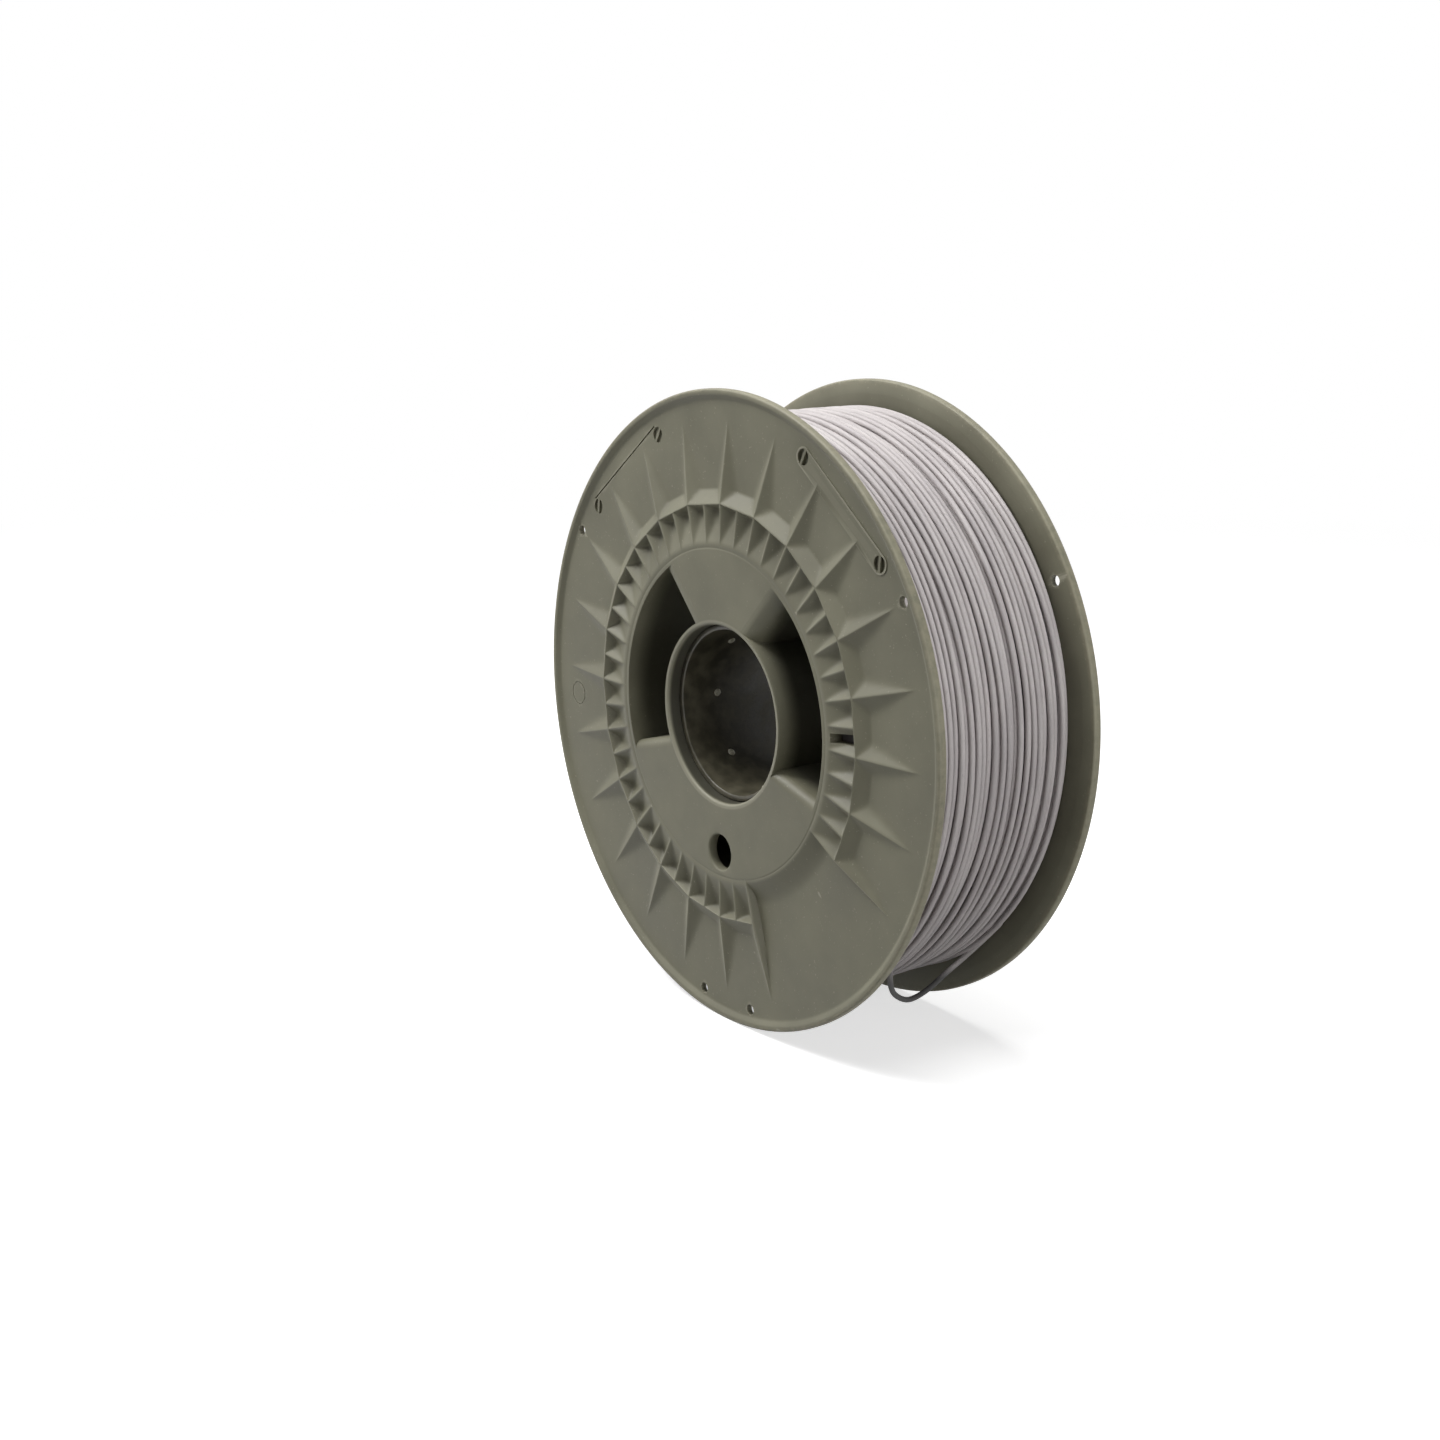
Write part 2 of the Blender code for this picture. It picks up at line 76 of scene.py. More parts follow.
# %% [markdown]
# ## The loose end of the filament
#
# The strand leaves the winding beside the rear flange, drops in a small loop below the winding and goes
# back up behind the front flange. It could be swept from a circle by hand, but a curve with a round
# bevel does that by itself: the curve is the strand's centre line, so its length and bends can be
# measured. The route's points are the ones the CAD solid follows.

# %% Points round the spool
def on_winding(degrees, radius, y):
    """A point at an angle from +X towards +Z, seen from the front."""
    angle = math.radians(degrees)
    return Vector((radius * math.cos(angle), y, radius * math.sin(angle)))


def smooth_route(corners, steps):
    """A smooth line through the corners, with so many steps between each two."""
    path = [corners[0]] + corners + [corners[-1]]
    line = []
    for p0, p1, p2, p3 in zip(path, path[1:], path[2:], path[3:]):
        for step in range(steps):
            t = step / steps
            line.append(0.5 * ((2 * p1) + (p2 - p0) * t + (2 * p0 - 5 * p1 + 4 * p2 - p3) * t ** 2
                               + (3 * p1 - p0 - 3 * p2 + p3) * t ** 3))
    return line + [corners[-1]]


print("12 o'clock on a 90 mm winding:", on_winding(90, 90 * MM, 0.0))

# %% Route of the loose end
STRAND = 1.75 * MM           # filament diameter
FLANGE_INSIDE = 28.0 * MM    # inner face of each flange, from the middle of the spool
CLEARANCE = 0.3 * MM
WINDING_RADIUS = 89.125 * MM  # centre line of the outermost turns in the CAD model
CAD_LOOPS = 24
LAST_TURN_ANGLE = 318.0
LOOSE_END_ROUTE = [  # degrees round the axis, radius and distance from the middle in mm
    (310.5, 90.1, 26.7), (303.2, 92.0, 25.6), (300.4, 94.6, 20.8), (298.9, 98.2, 12.9), (299.6, 99.6, 4.0),
    (303.4, 97.8, -5.5), (308.4, 95.6, -12.5), (314.5, 93.6, -18.0), (322.0, 92.2, -22.5),
    (329.0, 91.4, -25.2)]

reach = FLANGE_INSIDE - CLEARANCE - STRAND / 2
last = on_winding(LAST_TURN_ANGLE, WINDING_RADIUS, reach)
before = on_winding(LAST_TURN_ANGLE + 360 / CAD_LOOPS, WINDING_RADIUS, reach - 2 * reach / CAD_LOOPS ** 2)
heading = (last - before).normalized()
exit_point = last + heading * (STRAND + CLEARANCE)
corners = [exit_point, exit_point + heading * STRAND]
corners += [on_winding(angle, radius * MM, y * MM) for angle, radius, y in LOOSE_END_ROUTE]
loose_line = smooth_route(corners, steps=6)
loose_length = sum((b - a).length for a, b in zip(loose_line, loose_line[1:]))
print("loose end: %.1f mm" % (loose_length / MM))

# %% The loose end as a round strand
def strand_curve(name, points, sides):
    """One open strand of filament with closed ends."""
    curve = bpy.data.curves.new(name, "CURVE")
    curve.dimensions = "3D"
    curve.bevel_depth = 1.0  # times each point's radius, which Blender also adds to the curve's box
    curve.bevel_resolution = (sides - 4) // 2
    curve.use_fill_caps = True
    spline = curve.splines.new("POLY")
    spline.points.add(len(points) - 1)
    for point, place in zip(spline.points, points):
        point.co = (*place, 1.0)
        point.radius = STRAND / 2
    strand = bpy.data.objects.new(name, curve)
    bpy.context.scene.collection.objects.link(strand)
    print("%s: %d points, %d sides" % (name, len(points), sides))
    return strand


loose_end = strand_curve("loose_end", loose_line, sides=14)
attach(loose_end, "root")
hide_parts("filament_free_end")

# %% [markdown]
# ## One flange half
#
# Each half is one injection moulding: a disc with a raised rim, half of the barrel, a collar for the
# bore tube and a hub disc with two windows. Round the hub a ring of pockets with thin gussets carries
# a relief of 24 rays. It could be built from wedges joined by Booleans, but then every edge is knife
# sharp. Here one closed section is spun into the whole half, with many columns and rows, and the
# relief is pressed into the vertices of its outer face by a height formula whose ridges and valleys
# are slightly rounded, as a worn mould makes them. The half is modelled with its outer face up, +Z.

# %% Sizes of the moulding
RIM_RADIUS = 100.0 * MM
RIM_UNDER = 28.5 * MM
RIM_ROUND = 0.7 * MM
LIP_TOP = 31.3 * MM
HUB_TOP = 32.9 * MM
FACE_TOP = 30.0 * MM
HUB_UNDER = 29.8 * MM
SEAM = 0.05 * MM
COLLAR_BORE = 28.0 * MM
COLLAR_RADIUS = 29.6 * MM
MOUTH_ROUND = 1.0 * MM
HUB_START = 30.5 * MM        # where the flat of the hub disc starts and ends
HUB_EDGE = 51.3 * MM
BARREL_INSIDE = 50.9 * MM
BARREL_RADIUS = 53.0 * MM
BARREL_ROUND = 0.8 * MM
RELIEF_HEIGHT = HUB_TOP - FACE_TOP
print("relief %.1f mm high" % (RELIEF_HEIGHT / MM))

# %% Points of a section
def rounded(centre, radius, start, end, count=4):
    """Points on a small arc of a section, from one angle to another, in degrees."""
    points = []
    for i in range(count + 1):
        angle = math.radians(start + (end - start) * i / count)
        points.append((centre[0] + radius * math.cos(angle), centre[1] + radius * math.sin(angle)))
    return points


def rows(start, end, pitch):
    """Evenly spaced radii from start up to, not including, end."""
    count = max(1, round((end - start) / pitch))
    return [start + (end - start) * i / count for i in range(count)]


print("rows of the hub disc:", len(rows(HUB_START, HUB_EDGE, 4 * MM)))

# %% Section of the half, from the bore outwards and back along the inside
# The mouth of the bore, the hub disc and the fine groove round it.
section = rounded((COLLAR_BORE + MOUTH_ROUND, HUB_TOP - MOUTH_ROUND), MOUTH_ROUND, 180, 90)
section += [(r, HUB_TOP) for r in rows(HUB_START, HUB_EDGE, 4 * MM)]
section += [(HUB_EDGE, HUB_TOP), (51.6 * MM, HUB_TOP - 0.02 * MM), (51.8 * MM, HUB_TOP - 0.12 * MM),
            (52.0 * MM, HUB_TOP - 0.12 * MM), (52.2 * MM, HUB_TOP - 0.05 * MM)]
# The face, with the closest rows at the crest of the relief.
section += [(r, FACE_TOP) for start, end, pitch in (
    (53.0, 62.0, 0.6), (62.0, 65.2, 0.35), (65.2, 66.4, 0.12), (66.4, 71.5, 0.42), (71.5, 91.4, 0.9),
    (91.4, 96.2, 1.6)) for r in rows(start * MM, end * MM, pitch * MM)]
# The raised lip and the rim's edge.
section += [(96.2 * MM, FACE_TOP), (96.7 * MM, FACE_TOP + 0.05 * MM), (97.1 * MM, FACE_TOP + 0.28 * MM)]
section += [(98.0 * MM, LIP_TOP - 0.22 * MM), (98.35 * MM, LIP_TOP - 0.04 * MM), (98.7 * MM, LIP_TOP)]
section += rounded((RIM_RADIUS - RIM_ROUND, LIP_TOP - RIM_ROUND), RIM_ROUND, 90, 0)
section += rounded((RIM_RADIUS - RIM_ROUND, RIM_UNDER + RIM_ROUND), RIM_ROUND, 0, -90)
# The face beside the winding, the barrel, and back along the hollow inside of the hub.
section += [(95.8 * MM, FLANGE_INSIDE + 0.04 * MM), (95.3 * MM, FLANGE_INSIDE)]
section += [(r * MM, FLANGE_INSIDE) for r in (91, 85, 78, 70, 62)]
section += rounded((BARREL_RADIUS + BARREL_ROUND, FLANGE_INSIDE - BARREL_ROUND), BARREL_ROUND, 90, 180)
section += [(BARREL_RADIUS, z * MM) for z in (20, 10)]
section += [(BARREL_RADIUS, SEAM), (BARREL_INSIDE, SEAM), (BARREL_INSIDE, HUB_UNDER)]
section += [(COLLAR_RADIUS, HUB_UNDER), (COLLAR_RADIUS, SEAM), (COLLAR_BORE, SEAM)]
print("section: %d points" % len(section))

# %% [markdown]
# ### The relief as a height formula
#
# On the real face, gussets part a ring of pockets, a crest of 24 straight sides closes it, and a ray
# runs out from each corner of the crest. For a point of the face the formula finds its distance from
# the nearest gusset, the nearest ray and the crest, and takes the highest or lowest of a few tilted
# planes. A smooth minimum rounds the edge where two planes meet, which a plain one would leave sharp.

# %% Rounding where planes meet
EDGE = 0.16 * MM             # how far a ridge or valley is rounded


def smooth_min(a, b, round_off):
    """The lower of two heights, with the crease between them rounded."""
    mix = max(round_off - abs(a - b), 0.0) / round_off
    return min(a, b) - mix * mix * round_off / 4


def smooth_max(a, b, round_off):
    """The higher of two heights, rounded in the same way."""
    return -smooth_min(-a, -b, round_off)


def off_nearest(angle, step):
    """Signed angle from the nearest whole number of steps."""
    return angle - step * round(angle / step)


print("two equal heights meet %.3f mm higher" % (smooth_max(0.0, 0.0, EDGE) / MM))

# %% Pockets, gussets and rays
CREST = 65.8 * MM            # corner radius of the 24-sided crest
CREST_LAND = 0.25 * MM       # flat strip between a pocket's wall and the crest's edge
CREST_SLOPE_WIDTH = 4.36 * MM
RAY_STEP = math.radians(360 / 24)
CREST_APOTHEM = CREST * math.cos(RAY_STEP / 2)
RAY_TIP = 90.0 * MM
RAY_HALF = 0.1 * MM
RAY_FLANK_SLOPE = 0.557
GUSSET_HALF = 0.22 * MM
GUSSET_FLANK_SLOPE = 0.97
POCKET_START = 53.5 * MM
POCKET_SLOPE = 0.33          # the long slope from the hub down to the pocket's floor
POCKET_WALL_SLOPE = 1.8
POCKET_DEPTH = RELIEF_HEIGHT - 0.05 * MM


def pocket_depth(radius, angle, along):
    """Depth below the hub's face: two flanks, a long slope from the hub and a wall at the crest."""
    beside = radius * abs(math.sin(off_nearest(angle, RAY_STEP / 2)))
    flank = GUSSET_FLANK_SLOPE * (beside - GUSSET_HALF)
    depth = smooth_min(flank, POCKET_SLOPE * (radius - POCKET_START), 3 * EDGE)
    depth = smooth_min(depth, POCKET_WALL_SLOPE * (CREST_APOTHEM - CREST_LAND - along), 2 * EDGE)
    return smooth_max(smooth_min(depth, POCKET_DEPTH, 2 * EDGE), 0.0, EDGE)


def ray_height(radius, angle, flank_slope):
    """Height of a ray's ridge, which falls to nothing at its tip, less the slope of its flanks."""
    off = off_nearest(angle, RAY_STEP)
    ridge = RELIEF_HEIGHT * (RAY_TIP - radius * math.cos(off)) / (RAY_TIP - CREST)
    return ridge - flank_slope * max(0.0, radius * abs(math.sin(off)) - RAY_HALF)


print("a ray is %.2f mm high halfway out" % (ray_height((CREST + RAY_TIP) / 2, 0.0, RAY_FLANK_SLOPE) / MM))

# %% Plain sector and the whole relief
PLAIN_SECTOR = (math.radians(285), math.radians(330))
PLAIN_START = 52.3 * MM
PLAIN_END = 60.5 * MM
PLAIN_SWELL = 0.8            # how much the plain sector's slope bulges near the hub
STEEP = 3.2                  # slope of the walls beside the plain sector
ANGLE_TOLERANCE = 0.0005     # radians; a column on a wall's own angle isn't part of the plain sector


def plain_height(radius, angle):
    """In the plain sector: a soft slope down from the hub, with steep walls at its two sides."""
    t = min(max((radius - PLAIN_START) / (PLAIN_END - PLAIN_START), 0.0), 1.0)
    height = RELIEF_HEIGHT * (1 - t) ** 2 * (1 + PLAIN_SWELL * t)
    for side in PLAIN_SECTOR:
        drop = STEEP * max(0.0, radius * abs(math.sin(angle - side)) - GUSSET_HALF)
        top = RELIEF_HEIGHT if radius < CREST else ray_height(radius, side, 0.0)
        height = smooth_max(height, top - drop, EDGE)
    return min(height, RELIEF_HEIGHT)


def relief_height(radius, angle):
    """Height of the outer face above its flat ground."""
    angle %= math.tau
    if PLAIN_SECTOR[0] + ANGLE_TOLERANCE < angle < PLAIN_SECTOR[1] - ANGLE_TOLERANCE:
        return max(plain_height(radius, angle), 0.0)
    along = radius * math.cos(off_nearest(angle - RAY_STEP / 2, RAY_STEP))
    inner = RELIEF_HEIGHT - pocket_depth(radius, angle, along)
    facet = RELIEF_HEIGHT * (1 - (along - CREST_APOTHEM) / CREST_SLOPE_WIDTH)
    outer = smooth_max(facet, ray_height(radius, angle, RAY_FLANK_SLOPE), EDGE)
    height = smooth_min(inner, outer, EDGE) if along > CREST_APOTHEM - 1 * MM else inner
    return smooth_max(height, 0.0, EDGE)


print("a pocket's floor is at %.2f mm" % (relief_height(62 * MM, RAY_STEP / 4) / MM))

# %% [markdown]
# ### Spin and press
#
# `bmesh.ops.spin` turns the closed section into a closed solid. Rows of faces that cross a ridge at a
# slant would leave it ragged, so the rows near the crest are first bent into its 24 straight sides, and
# the columns are drawn together at the gussets, where the detail is finest.

# %% Helpers for spun shapes
def join_ring(bm, points):
    """Verts at the points, each joined to the next by an edge and the last to the first."""
    verts = [bm.verts.new(p) for p in points]
    return verts, [bm.edges.new((a, b)) for a, b in zip(verts, verts[1:] + verts[:1])]


def spin_ring(bm, points, steps):
    """A closed ring round +Z from a closed section of (radius, height) points."""
    verts, edges = join_ring(bm, [(radius, 0.0, height) for radius, height in points])
    bmesh.ops.spin(bm, geom=verts + edges, axis=(0, 0, 1), cent=(0, 0, 0), angle=math.tau, steps=steps,
                   use_merge=True)


def finish_mesh(bm, name):
    """Closes doubles, turns the faces outwards and makes the object."""
    bmesh.ops.remove_doubles(bm, verts=bm.verts, dist=0.001 * MM)
    bmesh.ops.recalc_face_normals(bm, faces=bm.faces)
    mesh = bpy.data.meshes.new(name)
    bm.to_mesh(mesh)
    bm.free()
    item = bpy.data.objects.new(name, mesh)
    bpy.context.scene.collection.objects.link(item)
    return item


GUSSETS = 48
COLUMNS = 12 * GUSSETS       # twelve columns of faces to a gusset
bm = bmesh.new()
spin_ring(bm, section, COLUMNS)
print("spun: %d faces" % len(bm.faces))

# %% Press the relief into the spun half
RELIEF_START = 52.5 * MM
RELIEF_END = 91.4 * MM
CROWDING = 0.75              # how strongly the columns gather at the gussets


def fade(value, start, end):
    """A soft step from 0 at start to 1 at end."""
    t = min(max((value - start) / (end - start), 0.0), 1.0)
    return t * t * (3 - 2 * t)


def follow_crest(radius, angle):
    """Bends the rows near the crest into its 24 straight sides."""
    weight = fade(radius, 56 * MM, 63 * MM) * (1 - fade(radius, 71 * MM, 78 * MM))
    straight = math.cos(RAY_STEP / 2) / math.cos(off_nearest(angle - RAY_STEP / 2, RAY_STEP))
    return radius * (1 + weight * (straight - 1))


for vert in bm.verts:
    radius = math.hypot(vert.co.x, vert.co.y)
    angle = math.atan2(vert.co.y, vert.co.x)
    angle -= CROWDING / GUSSETS * math.sin(GUSSETS * angle)
    on_face = vert.co.z > FACE_TOP - 0.001 * MM
    if on_face and RELIEF_START < radius < RELIEF_END:
        radius = follow_crest(radius, angle)
        vert.co.z = FACE_TOP + relief_height(radius, angle)
    vert.co.x = radius * math.cos(angle)
    vert.co.y = radius * math.sin(angle)
half = finish_mesh(bm, "flange_half")
print("half: %d faces" % len(half.data.polygons))

# %% [markdown]
# ### Cutting and joining
#
# Two walls beside each window close the hollow hub off from it, and the windows have rounded edges where
# a finger goes in. Both could be worked into the spun mesh face by face, but a Boolean with a simple
# solid does it in one step. Each solid is an outline extruded into a prism, or a small spun shape, and
# those of a kind are joined into one object first.

# %% Helpers for cutters
def prism(bm, outline, low, high, axis=Vector((0, 0, 1))):
    """A closed solid between an outline moved by low and the same outline moved by high along axis."""
    _, edges = join_ring(bm, [p + axis * low for p in outline])
    face = bmesh.ops.edgeloop_fill(bm, edges=edges)["faces"][0]
    grown = bmesh.ops.extrude_face_region(bm, geom=[face])["geom"]
    moved = [v for v in grown if isinstance(v, bmesh.types.BMVert)]
    bmesh.ops.translate(bm, verts=moved, vec=axis * (high - low))


def polar(radius, degrees, z=0.0):
    """A point on the half, at an angle from +X towards +Y."""
    angle = math.radians(degrees)
    return Vector((radius * math.cos(angle), radius * math.sin(angle), z))


def combine(target, helper, operation):
    """Joins, cuts or keeps what both share, with an exact Boolean, and removes the helper."""
    modifier = target.modifiers.new("combine", "BOOLEAN")
    modifier.operation = operation
    modifier.solver = "EXACT"
    modifier.object = helper
    bpy.context.view_layer.update()
    shaped = target.evaluated_get(bpy.context.evaluated_depsgraph_get())
    mesh = bpy.data.meshes.new_from_object(shaped)
    target.modifiers.clear()
    target.data = mesh
    print("%s with %s: %d faces" % (target.name, helper.name, len(mesh.polygons)))
    bpy.data.objects.remove(helper)


print("3 and 12 o'clock on the half:", polar(1.0, 0), polar(1.0, 90))

# %% Walls beside the windows
WINDOW_CENTRES = (16.0, 164.0)
WINDOW_HALF_ANGLE = 31.0
WINDOW_SIDE_OFFSET = 4.8 * MM
WALL = 1.8 * MM
WALL_START = 28.9 * MM       # inside the collar's wall
WALL_END = 51.2 * MM         # inside the barrel's wall
WALL_TOP = HUB_TOP - 1.2 * MM


def side_frame(centre, side):
    """Direction along one side of a window and the direction out of the window across it."""
    along = polar(1.0, centre + side * WINDOW_HALF_ANGLE)
    across = polar(1.0, centre + side * WINDOW_HALF_ANGLE + side * 90)
    return along, across


bm = bmesh.new()
for centre in WINDOW_CENTRES:
    for side in (-1, 1):
        along, across = side_frame(centre, side)
        near, far = across * WINDOW_SIDE_OFFSET, across * (WINDOW_SIDE_OFFSET + WALL)
        start, end = along * WALL_START, along * WALL_END
        prism(bm, [start + near, end + near, end + far, start + far], SEAM, WALL_TOP)
combine(half, finish_mesh(bm, "window_walls"), "UNION")

# %% Cutter for a window
UPPER_ROUND = 6.5 * MM
LOWER_ROUND = 3.0 * MM
STRIP_START = 15 * MM
STRIP_END = 60 * MM
SECTOR_INSIDE = 20 * MM      # a band trims the cutter's sector to the hub disc afterwards
SECTOR_OUTSIDE = 60 * MM


def arc(radius, start, end, count):
    """Points on an arc, from one angle to another, both included."""
    return [polar(radius, start + (end - start) * i / (count - 1)) for i in range(count)]


def side_angle(radius):
    """Angle from a window's middle to its side, which is offset and so wider near the bore."""
    return WINDOW_HALF_ANGLE + math.degrees(math.asin(WINDOW_SIDE_OFFSET / radius))


def rounding_strip(along, across, size):
    """A strip beside a window's side whose underside is the rounded edge that it leaves."""
    bm = bmesh.new()
    corner = across * WINDOW_SIDE_OFFSET + Vector((0, 0, HUB_TOP - size))
    above = Vector((0, 0, size + 1 * MM))
    outline = [corner + across * (size - size * math.cos(math.radians(a)))
               + Vector((0, 0, size * math.sin(math.radians(a)))) for a in range(0, 91, 9)]
    outline += [corner + across * size + above, corner - across * 1 * MM + above, corner - across * 1 * MM]
    prism(bm, outline, STRIP_START, STRIP_END, along)
    return finish_mesh(bm, "rounding")


def window_cutter(centre):
    """A sector through the hub disc, with a rounding strip along each of its two straight sides."""
    bm = bmesh.new()
    wide, narrow = side_angle(SECTOR_OUTSIDE), side_angle(SECTOR_INSIDE)
    outline = arc(SECTOR_OUTSIDE, centre - wide, centre + wide, 12)
    outline += arc(SECTOR_INSIDE, centre + narrow, centre - narrow, 4)
    prism(bm, outline, HUB_UNDER - 2 * MM, HUB_TOP + 2 * MM)
    opening = finish_mesh(bm, "opening")
    for side in (-1, 1):
        along, across = side_frame(centre, side)
        strip = rounding_strip(along, across, LOWER_ROUND if along.y < 0 else UPPER_ROUND)
        combine(opening, strip, "UNION")
    return opening


# %% Cut the windows
def ring_prism(name, inner, outer, low, high, steps):
    """A plain ring with a square section."""
    bm = bmesh.new()
    spin_ring(bm, [(inner, low), (outer, low), (outer, high), (inner, high)], steps)
    return finish_mesh(bm, name)


for centre in WINDOW_CENTRES:
    cutter = window_cutter(centre)
    band = ring_prism("band", COLLAR_RADIUS + 0.05 * MM, BARREL_INSIDE - 0.3 * MM, HUB_UNDER - 8 * MM,
                      HUB_TOP + 3 * MM, steps=144)
    combine(cutter, band, "INTERSECT")
    combine(half, cutter, "DIFFERENCE")

# %% [markdown]
# ### Holes and the start slot
#
# A pin of the winding machine goes into the drive hole under the bore, the strand's end can be threaded
# through the four small holes in the rim, and the first turn starts in the slot beside the hub. A
# cylinder would cut them, but the drive hole has a rounded edge, so each cutter is an outline spun
# round its own axis and then moved to its place.

# %% Drive hole, rim holes and start slot
CUT_TOP = 36 * MM            # above everything that is cut
DRIVE_HOLE = 5.8 * MM
DRIVE_HOLE_RING = 44.3 * MM
DRIVE_HOLE_ROUND = 0.5 * MM
RIM_HOLE = 1.8 * MM
RIM_HOLE_RING = 94.6 * MM
RIM_HOLE_ANGLES = (30.0, 150.0, 262.5, 277.5)
SLOT_ANGLE = 3.75
SLOT_HALF_ANGLE = 1.5
SLOT_START = 54.0 * MM
SLOT_END = 63.9 * MM


def turned_cutter(bm, outline, place, segments):
    """Spins an outline of (radius, height) points that starts and ends on the axis, and moves it."""
    there = set(bm.verts)
    verts = [bm.verts.new((r, 0, z)) for r, z in outline]
    edges = [bm.edges.new(pair) for pair in zip(verts, verts[1:])]
    bmesh.ops.spin(bm, geom=verts + edges, axis=(0, 0, 1), cent=(0, 0, 0), angle=math.tau, steps=segments,
                   use_merge=True)
    bmesh.ops.translate(bm, verts=[v for v in bm.verts if v not in there], vec=place)


bm = bmesh.new()
edge = (DRIVE_HOLE + DRIVE_HOLE_ROUND, HUB_TOP - DRIVE_HOLE_ROUND)
drive_outline = [(0, 20 * MM), (DRIVE_HOLE, 20 * MM)] + rounded(edge, DRIVE_HOLE_ROUND, 180, 90, 3)
drive_outline += [(DRIVE_HOLE + DRIVE_HOLE_ROUND, CUT_TOP), (0, CUT_TOP)]
turned_cutter(bm, drive_outline, polar(DRIVE_HOLE_RING, 270), segments=64)
rim_outline = [(0, 25 * MM), (RIM_HOLE, 25 * MM), (RIM_HOLE, CUT_TOP), (0, CUT_TOP)]
for degrees in RIM_HOLE_ANGLES:
    turned_cutter(bm, rim_outline, polar(RIM_HOLE_RING, degrees), segments=24)
slot_sides = (SLOT_ANGLE - SLOT_HALF_ANGLE, SLOT_ANGLE + SLOT_HALF_ANGLE)
prism(bm, [polar(SLOT_START, slot_sides[0]), polar(SLOT_END, slot_sides[0]),
           polar(SLOT_END, slot_sides[1]), polar(SLOT_START, slot_sides[1])], 25 * MM, CUT_TOP)
combine(half, finish_mesh(bm, "holes"), "DIFFERENCE")

# %% [markdown]
# ### Insert plates and marks
#
# Near the rim are prints of what look like two exchangeable plates of the mould, held by two screws each:
# a slightly raised bar with round ends on the right, a fine groove on the left, and four round marks
# with a bar across, like a screw's slot. A bump in the material could draw them, but a close view
# and the exported mesh would lose them, so they are cut. Each mark is two half discs: a cylinder is
# cut by a plane beside its middle, and the cut side is filled.

# %% Insert plates
PLATES = (((91.0, 66.0), (91.3, 38.3)), ((91.0, 114.0), (91.3, 141.7)))  # ends: radius in mm, degrees
PLATE_HALF = 3.1 * MM
PLATE_HEIGHT = 0.25 * MM
GROOVE_HALF = 0.25 * MM


def capsule(start, end, half_width, count=10):
    """Outline of a straight bar with round ends."""
    along = (end - start).normalized()
    first = math.degrees(math.atan2(along.y, along.x))
    outline = [end + polar(half_width, first - 90 + 180 * i / count) for i in range(count + 1)]
    return outline + [start + polar(half_width, first + 90 + 180 * i / count) for i in range(count + 1)]


plates = [[polar(radius * MM, degrees) for radius, degrees in pair] for pair in PLATES]
bm = bmesh.new()
prism(bm, capsule(*plates[0], PLATE_HALF), FACE_TOP - 1 * MM, FACE_TOP + PLATE_HEIGHT)
combine(half, finish_mesh(bm, "raised_plate"), "UNION")

bm = bmesh.new()
start, end = plates[1]
away = ((start + end) / 2).normalized()
inner, outer = away * (PLATE_HALF - GROOVE_HALF), away * (PLATE_HALF + GROOVE_HALF)
prism(bm, [start + inner, end + inner, end + outer, start + outer], FACE_TOP - 0.5 * MM, CUT_TOP)
combine(half, finish_mesh(bm, "plate_groove"), "DIFFERENCE")

# %% Slotted screw marks and the small ring mark
MARK_RADIUS = 2.45 * MM
MARK_BAR_HALF = 0.45 * MM
MARK_FLOOR = 29.4 * MM
MARK_CUT = 4 * MM
BAR_ANGLES = (62.0, 85.0)    # how the bar lies in the first and second mark of a plate
RING_MARK = (3.6 * MM, 3.9 * MM)
RING_MARK_PLACE = (86.0 * MM, 186.0)


def half_disc(bm, place, out):
    """The half of a flat cylinder on the side of out, clear of the bar across the middle."""
    centre = place + Vector((0, 0, MARK_FLOOR + MARK_CUT / 2))
    made = bmesh.ops.create_cone(bm, cap_ends=True, segments=32, radius1=MARK_RADIUS, radius2=MARK_RADIUS,
                                 depth=MARK_CUT, matrix=Matrix.Translation(centre))
    own = set(made["verts"])
    geom = list(own) + [e for e in bm.edges if e.verts[0] in own]
    geom += [f for f in bm.faces if f.verts[0] in own]
    cut = bmesh.ops.bisect_plane(bm, geom=geom, plane_co=place + out * MARK_BAR_HALF, plane_no=out,
                                 clear_inner=True)["geom_cut"]
    rim = [e for e in cut if isinstance(e, bmesh.types.BMEdge)]
    bmesh.ops.holes_fill(bm, edges=rim, sides=0)


bm = bmesh.new()
for ends in plates:
    for place, bar_angle in zip(ends, BAR_ANGLES):
        for side in (-1, 1):
            half_disc(bm, place, polar(1.0, bar_angle + 90) * side)
combine(half, finish_mesh(bm, "screw_marks"), "DIFFERENCE")

ring_mark = ring_prism("ring_mark", *RING_MARK, FACE_TOP - 0.2 * MM, 32 * MM, steps=40)
ring_mark.data.transform(Matrix.Translation(polar(*RING_MARK_PLACE)))
combine(half, ring_mark, "DIFFERENCE")

# %% [markdown]
# ### Both halves in their places
#
# The two mouldings come out of one mould, so the second is a copy of the first, turned half round. A
# copy could be placed by its object's location and rotation, but a pattern on Object coordinates would
# then turn with it, so the place is worked into the vertices and the object stays at the origin. Edges
# sharper than an angle are marked, so that smooth shading keeps them crisp.

# %% Place the half twice
FACE_FRONT = Matrix.Rotation(math.radians(90), 4, "X")
FACE_REAR = Matrix.Rotation(math.radians(180), 4, "Z") @ FACE_FRONT


